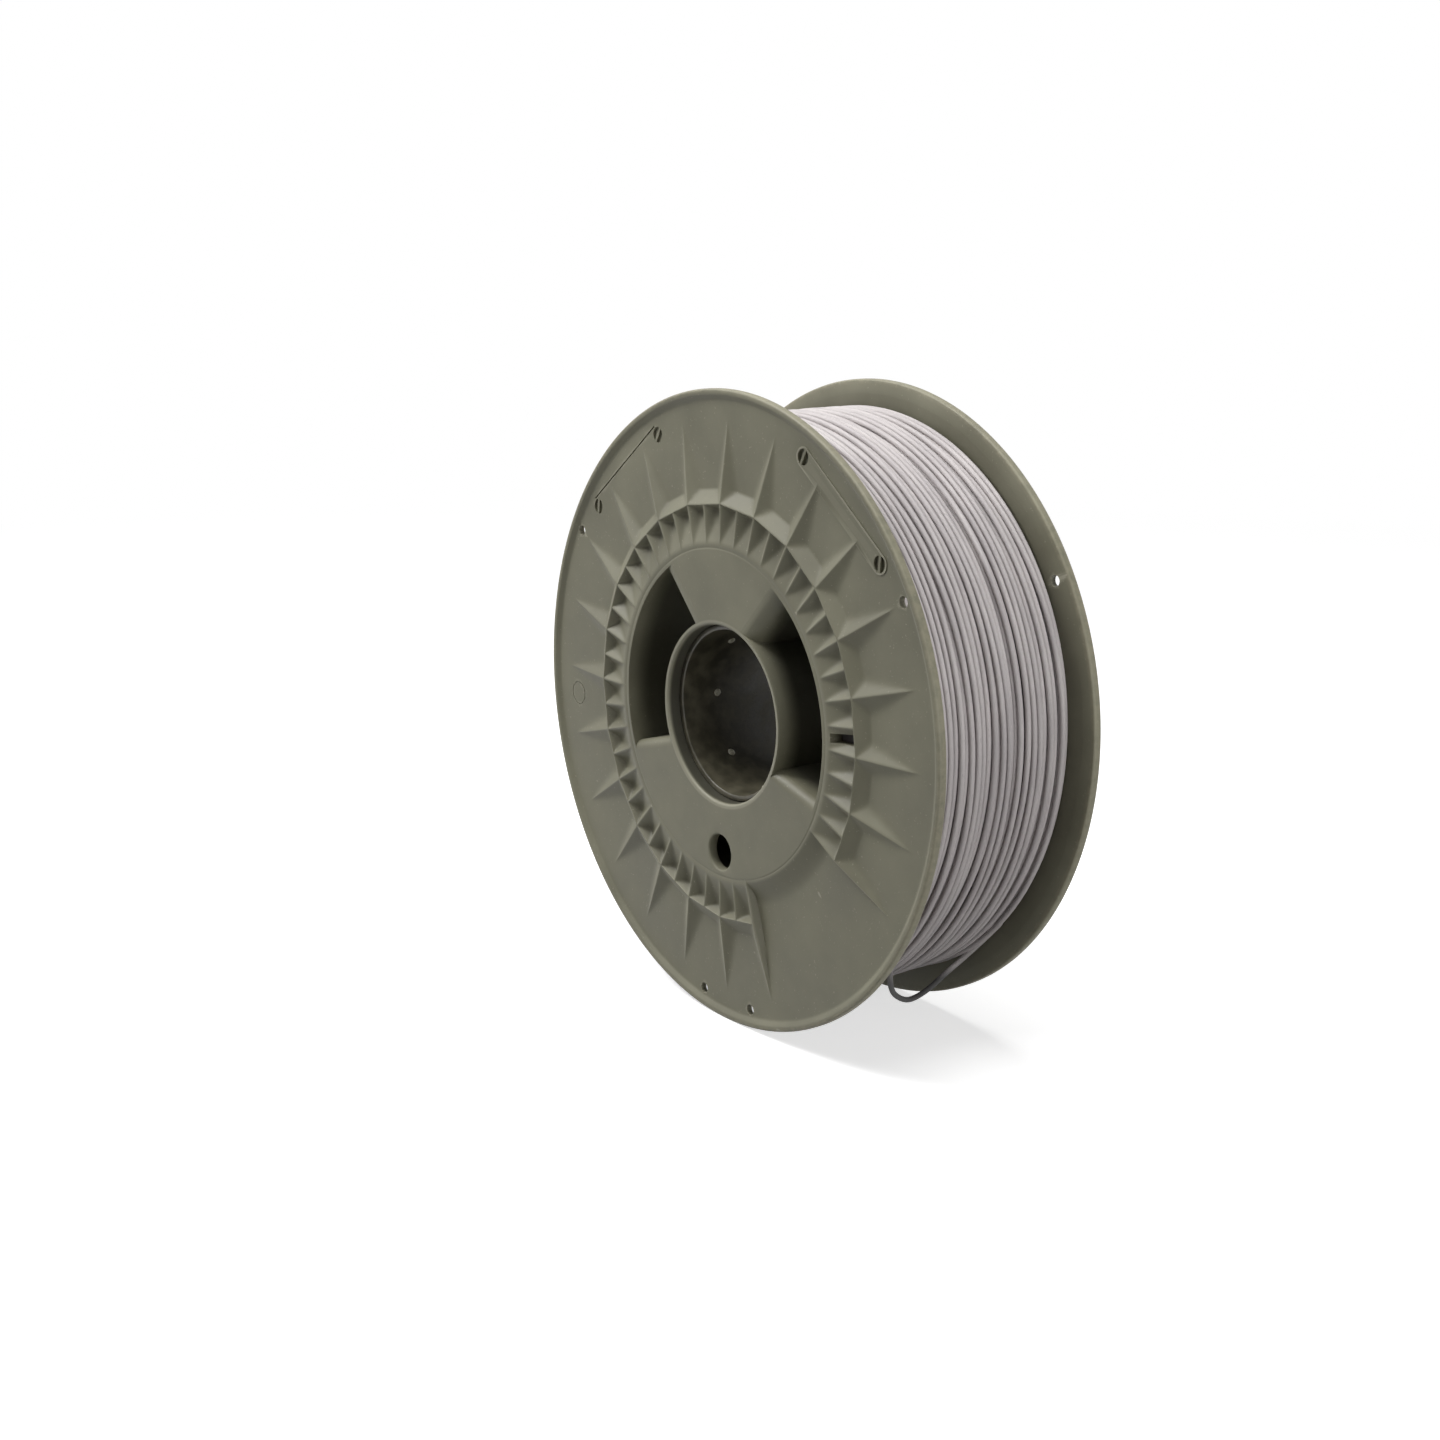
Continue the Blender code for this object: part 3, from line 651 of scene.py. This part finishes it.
def placed_copy(source, name, placing, smooth_angle):
    """A copy of a mesh with its place worked into the vertices and its sharp edges marked."""
    mesh = source.data.copy()
    mesh.transform(placing)
    mesh.shade_smooth()
    mesh.set_sharp_from_angle(angle=math.radians(smooth_angle))
    mesh.calc_loop_triangles()
    item = bpy.data.objects.new(name, mesh)
    bpy.context.scene.collection.objects.link(item)
    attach(item, "root")
    print("%s: %d triangles" % (name, len(mesh.loop_triangles)))
    return item


front = placed_copy(half, "front_half", FACE_FRONT, smooth_angle=38)
rear = placed_copy(half, "rear_half", FACE_REAR, smooth_angle=38)
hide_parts("front_flange", "front_hub", "front_barrel")
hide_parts("rear_flange", "rear_hub", "rear_barrel")
bpy.data.objects.remove(half)

# %% [markdown]
# ## The bore tube and its studs
#
# A smooth dark tube joins the two collars. Its end shows as a fine ledge inside the bore, and small
# round studs of a pale plastic, painted near white, which also paints the glint they catch, stand in rings
# on its inner wall. Two cylinders and a Boolean would make the tube, but a spun section also rounds its
# ends. The studs are flattened balls.

# %% Studs
SLEEVE_INSIDE = 26.0 * MM
STUD_RADIUS = 1.25 * MM
STUD_FLATNESS = 0.45
STUD_SUNK = 0.05 * MM
STUD_RING = 14.8 * MM        # distance of each ring of studs from the middle
bm = bmesh.new()
for degrees in range(0, 360, 45):
    turn = on_winding(degrees, 1.0, 0.0).to_track_quat("Z", "Y").to_matrix().to_4x4()
    for y in (-STUD_RING, STUD_RING):
        place = Matrix.Translation(on_winding(degrees, SLEEVE_INSIDE - STUD_SUNK, y))
        bmesh.ops.create_uvsphere(bm, u_segments=20, v_segments=10, radius=STUD_RADIUS,
                                  matrix=place @ turn @ Matrix.Diagonal((1, 1, STUD_FLATNESS, 1)))
studs = finish_mesh(bm, "studs")
bore_studs = placed_copy(studs, "bore_studs", Matrix.Identity(4), smooth_angle=60)
bpy.data.objects.remove(studs)

# %% Bore tube
SLEEVE_OUTSIDE = 27.7 * MM
SLEEVE_END = 28.6 * MM
OUTER_ROUND = 0.2 * MM
INNER_ROUND = 0.5 * MM
outer_corner = (SLEEVE_OUTSIDE - OUTER_ROUND, SLEEVE_END - OUTER_ROUND)
inner_corner = (SLEEVE_INSIDE + INNER_ROUND, SLEEVE_END - INNER_ROUND)
section = [(SLEEVE_OUTSIDE, -outer_corner[1]), (SLEEVE_OUTSIDE, outer_corner[1])]
section += rounded(outer_corner, OUTER_ROUND, 0, 90, 2)
section += rounded(inner_corner, INNER_ROUND, 90, 180, 4)
section += [(SLEEVE_INSIDE, z * MM) for z in (14, 0, -14)]
section += rounded((inner_corner[0], -inner_corner[1]), INNER_ROUND, 180, 270, 4)
section += rounded((outer_corner[0], -outer_corner[1]), OUTER_ROUND, 270, 360, 2)
bm = bmesh.new()
spin_ring(bm, section, steps=180)
tube = finish_mesh(bm, "tube")
bore_tube = placed_copy(tube, "bore_tube", FACE_FRONT, smooth_angle=35)
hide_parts("bore_sleeve")
bpy.data.objects.remove(tube)

# %% [markdown]
# ## The winding
#
# Only the outermost strands can be seen, but they ride on the layer below and lie in its valleys, which
# makes the uneven gaps of a real spool. Even rings would look machined. So three layers are wound,
# each as one unbroken strand: every turn wanders a little, keeps its distance from the turn before, and
# sits as high as the strands under it let it. The top layer has the fewest turns and wanders most, so
# its strands lean and cross over the others in long arcs. Under them a plain ring keeps light from
# shining through.

# %% Wander of a strand
TURN_POINTS = 144
EVENING_PASSES = 60
END_GAP = 0.05 * MM
random.seed(7)


def wander(amplitude, wavelengths):
    """A smooth, repeatable wave of the angle wound so far, in turns."""
    waves = [(length, random.uniform(0, math.tau), random.uniform(0.5, 1.0)) for length in wavelengths]
    total = sum(weight for _, _, weight in waves)
    return lambda turns: amplitude * sum(weight * math.sin(math.tau * turns / length + phase)
                                         for length, phase, weight in waves) / total


def wound_offsets(turns, direction, amplitude, wavelengths, spacing):
    """Distance from the middle for every point of a layer, turn after turn."""
    wave = wander(amplitude, wavelengths)
    limit = FLANGE_INSIDE - STRAND / 2 - END_GAP
    pitch = 2 * limit / turns
    count = turns * TURN_POINTS + 1
    offsets = [-limit + pitch * i / TURN_POINTS + wave(i / TURN_POINTS) for i in range(count)]
    for _ in range(EVENING_PASSES):
        for i in range(TURN_POINTS, count):
            gap = offsets[i] - offsets[i - TURN_POINTS]
            if gap < spacing:
                push = (spacing - gap) / 2
                offsets[i] += push
                offsets[i - TURN_POINTS] -= push
        offsets = [min(max(y, -limit), limit) for y in offsets]
    closest = min(b - a for a, b in zip(offsets, offsets[TURN_POINTS:]))
    print("%d turns, at least %.2f mm apart" % (turns, closest / MM))
    return [direction * y for y in offsets]


# %% Height of a strand on the layer below
def smoothed(values, reach):
    """A running mean, which keeps the strand from kinking."""
    total = [0.0]
    for value in values:
        total.append(total[-1] + value)
    means = []
    for i in range(len(values)):
        first, stop = max(0, i - reach), min(len(values), i + reach + 1)
        means.append((total[stop] - total[first]) / (stop - first))
    return means


def resting_radius(offsets, under, under_radii):
    """How high each point sits on the strands of the layer below."""
    radii = []
    for i, y in enumerate(offsets):
        radius = 0.0
        for j in range(i % TURN_POINTS, len(under), TURN_POINTS):
            beside = abs(under[j] - y)
            height = math.sqrt(max(STRAND ** 2 - beside ** 2, 0.0))
            if beside < 2 * STRAND:
                radius = max(radius, under_radii[j] + height)
        radii.append(radius)
    return radii


LOWER_RADIUS = 87.1 * MM
lower = wound_offsets(turns=28, direction=1, amplitude=0.5 * MM, wavelengths=(0.9, 1.7, 3.3),
                      spacing=STRAND)
upper = wound_offsets(turns=25, direction=-1, amplitude=1.6 * MM, wavelengths=(0.8, 1.45, 2.6, 4.3),
                      spacing=1.14 * STRAND)
top = wound_offsets(turns=17, direction=1, amplitude=3.4 * MM, wavelengths=(0.83, 1.37, 2.3, 3.9),
                    spacing=1.2 * STRAND)
lower_radii = [LOWER_RADIUS] * len(lower)
upper_radii = smoothed(resting_radius(upper, lower, lower_radii), reach=5)
top_radii = smoothed(resting_radius(top, upper, upper_radii), reach=4)
print("middle strands at %.2f to %.2f mm" % (min(upper_radii) / MM, max(upper_radii) / MM))
print("top strands at %.2f to %.2f mm" % (min(top_radii) / MM, max(top_radii) / MM))

# %% Three layers and the core
HIGHER_ON_TOP = 0.6 * MM     # the winding isn't quite round: it stands this much higher on top
HIGHEST_ANGLE = 80
CORE_STEPS = 120


def layer_points(offsets, radii):
    """The layer's centre line, wound back from the angle where the last turn ends."""
    points = []
    for i, (y, radius) in enumerate(zip(offsets, radii)):
        degrees = LAST_TURN_ANGLE - 360 / TURN_POINTS * i
        higher = HIGHER_ON_TOP * math.cos(math.radians(degrees - HIGHEST_ANGLE))
        points.append(on_winding(degrees, radius + higher, y))
    return points


def meet(points, goal, count):
    """Bends the last points so that the line ends at the goal."""
    shift = goal - points[-1]
    for i in range(count):
        points[-1 - i] = points[-1 - i] + shift * fade(count - i, 0, count)
    return points


lower_layer = strand_curve("lower_layer", layer_points(lower, lower_radii), sides=8)
upper_layer = strand_curve("upper_layer", layer_points(upper, upper_radii), sides=10)
top_line = meet(layer_points(top, top_radii), last, count=30) + [exit_point]
top_layer = strand_curve("top_layer", top_line, sides=12)
core = ring_prism("winding_core", BARREL_RADIUS + CLEARANCE, LOWER_RADIUS - 0.8 * MM,
                  -FLANGE_INSIDE + 0.1 * MM, FLANGE_INSIDE - 0.1 * MM, CORE_STEPS)
core.data.transform(FACE_FRONT)
for piece in (lower_layer, upper_layer, top_layer, core):
    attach(piece, "root")
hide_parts("filament_outer_layer")
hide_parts("filament_inner_layers")

# %% [markdown]
# ## Materials
#
# A finish could be painted on an image, but shader nodes draw it at any size and on any shape. Colours
# are written as sRGB hex values, as a colour picker shows them, and one function turns them to the
# linear values that the shader needs. Another adds a node with its settings and links. Every pattern
# reads Object coordinates, which are metres, so one over a size in metres is its scale. A mask is a Map
# Range node, and a mask that feeds another's To Max is multiplied by it.

# %% Colour and node helpers
FIRST_COLOUR = 6             # a Mix node has inputs for each kind of data; these are its two colours
SECOND_COLOUR = 7


def colour(hex_value):
    """sRGB hex to a linear colour with full alpha."""
    parts = [int(hex_value[i:i + 2], 16) / 255 for i in (1, 3, 5)]
    return [c / 12.92 if c <= 0.04045 else ((c + 0.055) / 1.055) ** 2.4 for c in parts] + [1.0]


def set_inputs(owner, node, inputs):
    """Links a node's inputs to other nodes' outputs, or sets them to hex colours or plain values."""
    for key, value in inputs.items():
        if isinstance(value, bpy.types.NodeSocket):
            owner.node_tree.links.new(value, node.inputs[key])
        else:
            node.inputs[key].default_value = colour(value) if isinstance(value, str) else value


def add(owner, kind, inputs=None, output=None, **settings):
    """Adds a node to a material or world and gives back its named output, or else the first in use."""
    node = owner.node_tree.nodes.new("ShaderNode" + kind)
    for name, value in settings.items():
        setattr(node, name, value)
    set_inputs(owner, node, inputs or {})
    return node.outputs[output] if output else next(o for o in node.outputs if o.enabled)


def new_material(name):
    """A material and its main shader node."""
    material = bpy.data.materials.new(name)
    material.use_nodes = True
    return material, material.node_tree.nodes["Principled BSDF"]


def place_and_radius(material):
    """A point's place on the object and its distance from the spool's axis."""
    place = add(material, "TexCoord", output="Object")
    flat = add(material, "VectorMath", {0: place, 1: (1, 0, 1)}, operation="MULTIPLY")
    return place, add(material, "VectorMath", {0: flat}, operation="LENGTH")


print("#807e6c in linear light:", [round(c, 3) for c in colour("#807e6c")])

# %% [markdown]
# ### Moulded polypropylene: blotches, dust, wear and painted highlights
#
# The halves look like injection-moulded polypropylene, in an olive grey. Gives the eye a dull surface
# that is blotchy over centimetres and dusty with fine pale specks. The rim's edge is rubbed to a yellowish
# grey, which also paints a highlight along it, and the ridges get a painted highlight. One plain colour
# would look new and flat, so the layers are mixed over each other, each with its own mask. The ridge
# highlight comes from Pointiness, which knows how sharp the mesh is; on the hub's long flat faces it
# would draw streaks, so it counts only outside the hub.

# %% Blotches, dust, wear and painted highlights
BLOTCH_SIZE = 30 * MM
SPECK_SIZE = 0.8 * MM
WEAR_SIZE = 2.5 * MM
moulded, moulded_shader = new_material("moulded_olive_polypropylene")
place, radius = place_and_radius(moulded)

blotches = add(moulded, "TexNoise", {"Vector": place, "Scale": 1 / BLOTCH_SIZE, "Detail": 5.0})
blotches = add(moulded, "MapRange", {"Value": blotches, "From Min": 0.32, "From Max": 0.68})

specks = add(moulded, "TexNoise", {"Vector": place, "Scale": 1 / SPECK_SIZE, "Detail": 1.0})
specks = add(moulded, "MapRange", {"Value": specks, "From Min": 0.70, "From Max": 0.79, "To Max": 0.38})

# The rim's edge: pale wear, which also stands as a painted highlight along it.
rim_wear_and_highlight = add(moulded, "TexNoise", {"Vector": place, "Scale": 1 / WEAR_SIZE, "Detail": 6.0})
rim_wear_and_highlight = add(moulded, "MapRange", {"Value": rim_wear_and_highlight, "From Min": 0.25, "From Max": 0.60, "To Max": 0.38})
rim_wear_and_highlight = add(moulded, "MapRange", {"Value": radius, "From Min": 98.3 * MM, "From Max": 99.4 * MM,
                                   "To Max": rim_wear_and_highlight})

# A painted highlight on the sharp ridges and edges, outside the hub.
ridge_highlight = add(moulded, "NewGeometry", output="Pointiness")
ridge_highlight = add(moulded, "MapRange", {"Value": ridge_highlight, "From Min": 0.515, "From Max": 0.57, "To Max": 0.6})
ridge_highlight = add(moulded, "MapRange", {"Value": radius, "From Min": 53.0 * MM, "From Max": 53.4 * MM,
                                   "To Max": ridge_highlight})

tone = add(moulded, "Mix", {"Factor": blotches, FIRST_COLOUR: "#696756", SECOND_COLOUR: "#807e6c"},
           data_type="RGBA")
for mask, shade in ((specks, "#a9a795"), (rim_wear_and_highlight, "#a39d86"), (ridge_highlight, "#aaa795")):
    tone = add(moulded, "Mix", {"Factor": mask, FIRST_COLOUR: tone, SECOND_COLOUR: shade}, data_type="RGBA")
print("dust and wear: %d nodes" % len(moulded.node_tree.nodes))

# %% [markdown]
# ### Moulded polypropylene: painted shade in the hollows
#
# Gives the eye depth: the hub's inside, the collar's wall and the faces beside the winding get painted
# shade, a darker tone, and the edge of the bore's mouth gets a painted highlight. The masks need no
# image, because each of these places is a range of radius and of distance from the spool's middle.

# %% Painted highlight on the mouth and painted shade in the hollows
from_middle = add(moulded, "SeparateXYZ", {"Vector": place}, output="Y")
from_middle = add(moulded, "Math", {0: from_middle}, operation="ABSOLUTE")


def zone(radii, distances, most):
    """A mask that grows to most over a range of radius and a range of distance from the middle, in mm."""
    mask = add(moulded, "MapRange", {"Value": radius, "From Min": radii[0] * MM, "From Max": radii[1] * MM,
                                     "To Max": most})
    return add(moulded, "MapRange", {"Value": from_middle, "From Min": distances[0] * MM,
                                     "From Max": distances[1] * MM, "To Max": mask})


# A painted highlight on the rounded edge of the bore's mouth.
mouth_highlight = zone((29.8, 29.3), (32.0, 32.6), 0.45)
# Painted shade inside the hub and on the collar's wall.
hub_inside_shade = zone((51.5, 50.5), (29.5, 24.0), 0.75)
collar_wall_shade = zone((28.6, 28.1), (32.4, 31.4), 0.75)
hollow_shade = add(moulded, "Math", {0: hub_inside_shade, 1: collar_wall_shade}, operation="MAXIMUM")
# Painted shade on the inner faces beside the winding, beyond the barrel.
beyond_barrel = add(moulded, "MapRange", {"Value": radius, "From Min": 53 * MM, "From Max": 54 * MM,
                                          "To Max": 0.5})
shade_beside_winding = zone((100.0, 88.0), (28.4, 28.1), beyond_barrel)
for mask, shade in ((mouth_highlight, "#aaa795"), (hollow_shade, "#1c1b16"), (shade_beside_winding, "#3a382e")):
    tone = add(moulded, "Mix", {"Factor": mask, FIRST_COLOUR: tone, SECOND_COLOUR: shade}, data_type="RGBA")
print("with the hollows: %d nodes" % len(moulded.node_tree.nodes))

# %% [markdown]
# ### Moulded polypropylene: sheen
#
# Gives the eye a low, broken sheen. Polypropylene's index of refraction is 1.49, which is near the
# shader's 1.5, so that stays, and dust lowers the specular level. Clean moulded plastic has a
# roughness of about 0.4; this one is duller, and unevenly so. Its grain of about 0.1 mm is too fine to
# show, so the bump is drawn coarser.

# %% Sheen and grain
GRAIN_SIZE = 0.7 * MM
sheen = add(moulded, "MapRange", {"Value": blotches, "To Min": 0.46, "To Max": 0.6})
grain = add(moulded, "TexNoise", {"Vector": place, "Scale": 1 / GRAIN_SIZE, "Detail": 3.0})
grain = add(moulded, "Bump", {"Height": grain, "Strength": 0.25, "Distance": 0.03 * MM})
set_inputs(moulded, moulded_shader, {"Base Color": tone, "Roughness": sheen, "Normal": grain,
                                     "Specular IOR Level": 0.35})
print("%s: %d nodes" % (moulded.name, len(moulded.node_tree.nodes)))

# %% [markdown]
# ### Extruded bore tube
#
# The tube looks extruded, of a darker polypropylene. Gives the eye a smoother plastic with a soft streak
# of light along the bore and faint scuffs from spindles. With one roughness all over it would look wet,
# so the scuffs also roughen it, and a slight ripple breaks the streak.

# %% Tube plastic
SCUFF_SIZE = 5 * MM
RIPPLE_SIZE = 4 * MM
tube_plastic, shader = new_material("extruded_dark_polypropylene")
place = add(tube_plastic, "TexCoord", output="Object")
scuffs = add(tube_plastic, "TexNoise", {"Vector": place, "Scale": 1 / SCUFF_SIZE, "Detail": 6.0})
scuffs = add(tube_plastic, "MapRange", {"Value": scuffs, "From Min": 0.40, "From Max": 0.66})
tone = add(tube_plastic, "Mix", {"Factor": scuffs, FIRST_COLOUR: "#454236", SECOND_COLOUR: "#5d594a"},
           data_type="RGBA")
sheen = add(tube_plastic, "MapRange", {"Value": scuffs, "To Min": 0.3, "To Max": 0.42})
ripple = add(tube_plastic, "TexNoise", {"Vector": place, "Scale": 1 / RIPPLE_SIZE, "Detail": 2.0})
ripple = add(tube_plastic, "Bump", {"Height": ripple, "Strength": 0.15, "Distance": 0.05 * MM})
set_inputs(tube_plastic, shader, {"Base Color": tone, "Roughness": sheen, "Normal": ripple,
                                  "Specular IOR Level": 0.35})
print("%s: %d nodes" % (tube_plastic.name, len(tube_plastic.node_tree.nodes)))

# %% [markdown]
# ### Filament
#
# The strand looks like extruded PLA with short fibres in it, which make it matt. Gives the eye a slightly
# lilac grey with a fine fibrous grain, a little uneven along the strand, with painted shade in the valleys
# and a painted shadow over the loose end, which hangs under the winding. Fibres lie along the strand, so
# their pattern is stretched along the turns: it is laid out by angle, distance from the middle and radius.
# A real fibre is about 0.02 mm thick, too fine to show, and is drawn about ten times as coarse.

# %% Grain of the filament
FIBRE_WIDTH = 0.22 * MM
PATCH_WIDTH = 3 * MM
ALONG_TURNS = 12 * MM        # length a radian counts for; it is about 90 mm, so fibres are 7.5 times as long
filament, filament_shader = new_material("matt_fibre_filled_pla")
place, radius = place_and_radius(filament)
apart = add(filament, "SeparateXYZ", {"Vector": place}).node.outputs
turned = add(filament, "Math", {0: apart["Z"], 1: apart["X"]}, operation="ARCTAN2")
turned = add(filament, "Math", {0: turned, 1: ALONG_TURNS}, operation="MULTIPLY")
laid_out = add(filament, "CombineXYZ", {"X": turned, "Y": apart["Y"], "Z": radius})
patches = add(filament, "TexNoise", {"Vector": laid_out, "Scale": 1 / PATCH_WIDTH, "Detail": 3.0})
patches = add(filament, "MapRange", {"Value": patches, "From Min": 0.34, "From Max": 0.66})
fibres = add(filament, "TexNoise", {"Vector": laid_out, "Scale": 1 / FIBRE_WIDTH, "Detail": 3.0})
print("grain of the filament: %d nodes" % len(filament.node_tree.nodes))

# %% Colour of the filament
# Each row is what is read, where its mask starts and ends, its most, and the shade it brings: pale
# fibres, dark fibres, painted shade in the valleys between the strands, and a painted shadow over the
# loose end.
tone = add(filament, "Mix", {"Factor": patches, FIRST_COLOUR: "#b6b0b0", SECOND_COLOUR: "#c8c2c1"},
           data_type="RGBA")
# The last two rows paint shade in the valleys and a shadow over the loose end.
for read, start, end, most, shade in (
        (fibres, 0.60, 0.80, 1.0, "#d2cdcb"), (fibres, 0.42, 0.20, 1.0, "#a39e9e"),
        (radius, 89.2 * MM, 86.8 * MM, 1.0, "#5c5859"), (radius, 91.7 * MM, 96.0 * MM, 0.93, "#232524")):
    mask = add(filament, "MapRange", {"Value": read, "From Min": start, "From Max": end, "To Max": most})
    tone = add(filament, "Mix", {"Factor": mask, FIRST_COLOUR: tone, SECOND_COLOUR: shade}, data_type="RGBA")
grain = add(filament, "Bump", {"Height": fibres, "Strength": 0.35, "Distance": 0.05 * MM})
set_inputs(filament, filament_shader, {"Base Color": tone, "Normal": grain, "Roughness": 0.72})
print("%s: %d nodes" % (filament.name, len(filament.node_tree.nodes)))

# %% [markdown]
# ### Studs
#
# The studs are a paler moulded plastic than the halves, painted near white, which also paints the glint
# that they catch in the dim bore. Gives the eye small pale olive dots, a little dusty, that stand out from
# the dark tube. They are too small for wear or grain, so one noise is enough.

# %% Stud plastic, with its painted glint
DUST_SIZE = 0.6 * MM
stud_plastic_with_glint, shader = new_material("pale_polypropylene_with_painted_glint")
place = add(stud_plastic_with_glint, "TexCoord", output="Object")
dust = add(stud_plastic_with_glint, "TexNoise", {"Vector": place, "Scale": 1 / DUST_SIZE, "Detail": 3.0})
dust = add(stud_plastic_with_glint, "MapRange", {"Value": dust, "From Min": 0.35, "From Max": 0.65})
# Near white: the studs' pale plastic and a painted glint.
tone = add(stud_plastic_with_glint, "Mix", {"Factor": dust, FIRST_COLOUR: "#d9d6c4", SECOND_COLOUR: "#efecdc"},
           data_type="RGBA")
set_inputs(stud_plastic_with_glint, shader, {"Base Color": tone, "Roughness": 0.45})
print("%s: %d nodes" % (stud_plastic_with_glint.name, len(stud_plastic_with_glint.node_tree.nodes)))

# %% Give each piece its material
def cover(piece, material):
    """Makes the material the piece's only one."""
    piece.data.materials.clear()
    piece.data.materials.append(material)
    print("%s: %s" % (piece.name, material.name))


cover(bore_studs, stud_plastic_with_glint)
for piece in (front, rear):
    cover(piece, moulded)
cover(bore_tube, tube_plastic)
for piece in (loose_end, lower_layer, upper_layer, top_layer, core):
    cover(piece, filament)

# %% [markdown]
# ## Floor, light and background
#
# A pale floor keeps the spool's soft shadow. What the camera sees of the floor's far part and of the
# sky is white, while the light that they send to the object stays low, so the plastic keeps its depth.
# The key light stands close at the upper left, in front, as in the photograph; weaker boxes light the
# left side, the top and the winding.

# %% Floor
FLOOR_HALF = 6.0
FADE_START = 0.4             # metres from the spool where the floor starts to fade to white
FADE_END = 1.2


def background_ray(owner):
    """1 for the rays that see the background: from the camera, in a mirror or through glass."""
    ray = add(owner, "LightPath").node.outputs
    seen = add(owner, "Math", {0: ray["Is Camera Ray"], 1: ray["Is Glossy Ray"]}, operation="MAXIMUM")
    return add(owner, "Math", {0: seen, 1: ray["Is Transmission Ray"]}, operation="MAXIMUM")


bm = bmesh.new()
bmesh.ops.create_grid(bm, x_segments=1, y_segments=1, size=FLOOR_HALF)
floor = finish_mesh(bm, "floor")
floor.data.transform(Matrix.Translation((0, 0, -RIM_RADIUS)))

paper, shader = new_material("white_paper_floor")
seen = background_ray(paper)
away = add(paper, "VectorMath", {0: add(paper, "TexCoord", output="Object")}, operation="LENGTH")
faded = add(paper, "MapRange", {"Value": away, "From Min": FADE_START, "From Max": FADE_END})
tone = add(paper, "Mix", {"Factor": faded, FIRST_COLOUR: "#f0f0f0", SECOND_COLOUR: "#000000"},
           data_type="RGBA")
tone = add(paper, "Mix", {"Factor": seen, FIRST_COLOUR: "#525251", SECOND_COLOUR: tone}, data_type="RGBA")
glow = add(paper, "MapRange", {"Value": away, "From Min": FADE_START, "From Max": FADE_END, "To Min": 0.62})
glow = add(paper, "Math", {0: seen, 1: glow}, operation="MULTIPLY")
set_inputs(paper, shader, {"Base Color": tone, "Emission Strength": glow, "Emission Color": "#ffffff",
                           "Roughness": 0.95, "Specular IOR Level": 0.0})
floor.data.materials.append(paper)
print("floor at %.0f mm" % (-RIM_RADIUS / MM))

# %% World and lights
AMBIENT = 0.06               # how strongly the white world lights the object


def soft_box(name, place, size, watts):
    """A square area light that faces the spool."""
    light = bpy.data.lights.new(name, "AREA")
    light.shape = "RECTANGLE"
    light.size = size
    light.size_y = size
    light.energy = watts
    item = bpy.data.objects.new(name, light)
    item.location = place
    item.rotation_euler = (-Vector(place)).to_track_quat("-Z", "Y").to_euler()
    bpy.context.scene.collection.objects.link(item)
    print("%s light: %g W, %.2f m away" % (name, watts, Vector(place).length))


world = bpy.context.scene.world or bpy.data.worlds.new("studio")
bpy.context.scene.world = world
world.use_nodes = True
strength = add(world, "Math", {0: background_ray(world), 1: AMBIENT}, operation="MAXIMUM")
set_inputs(world, world.node_tree.nodes["Background"], {"Color": "#ffffff", "Strength": strength})

soft_box("key", (-0.44, -0.46, 0.72), size=0.4, watts=7.3)
soft_box("side", (-1.15, -0.80, 0.80), size=0.8, watts=3.6)
soft_box("top", (0.25, -0.06, 1.42), size=0.8, watts=12.5)
soft_box("right", (1.35, -0.06, -0.02), size=0.9, watts=14)
bpy.context.scene.view_settings.view_transform = "Standard"
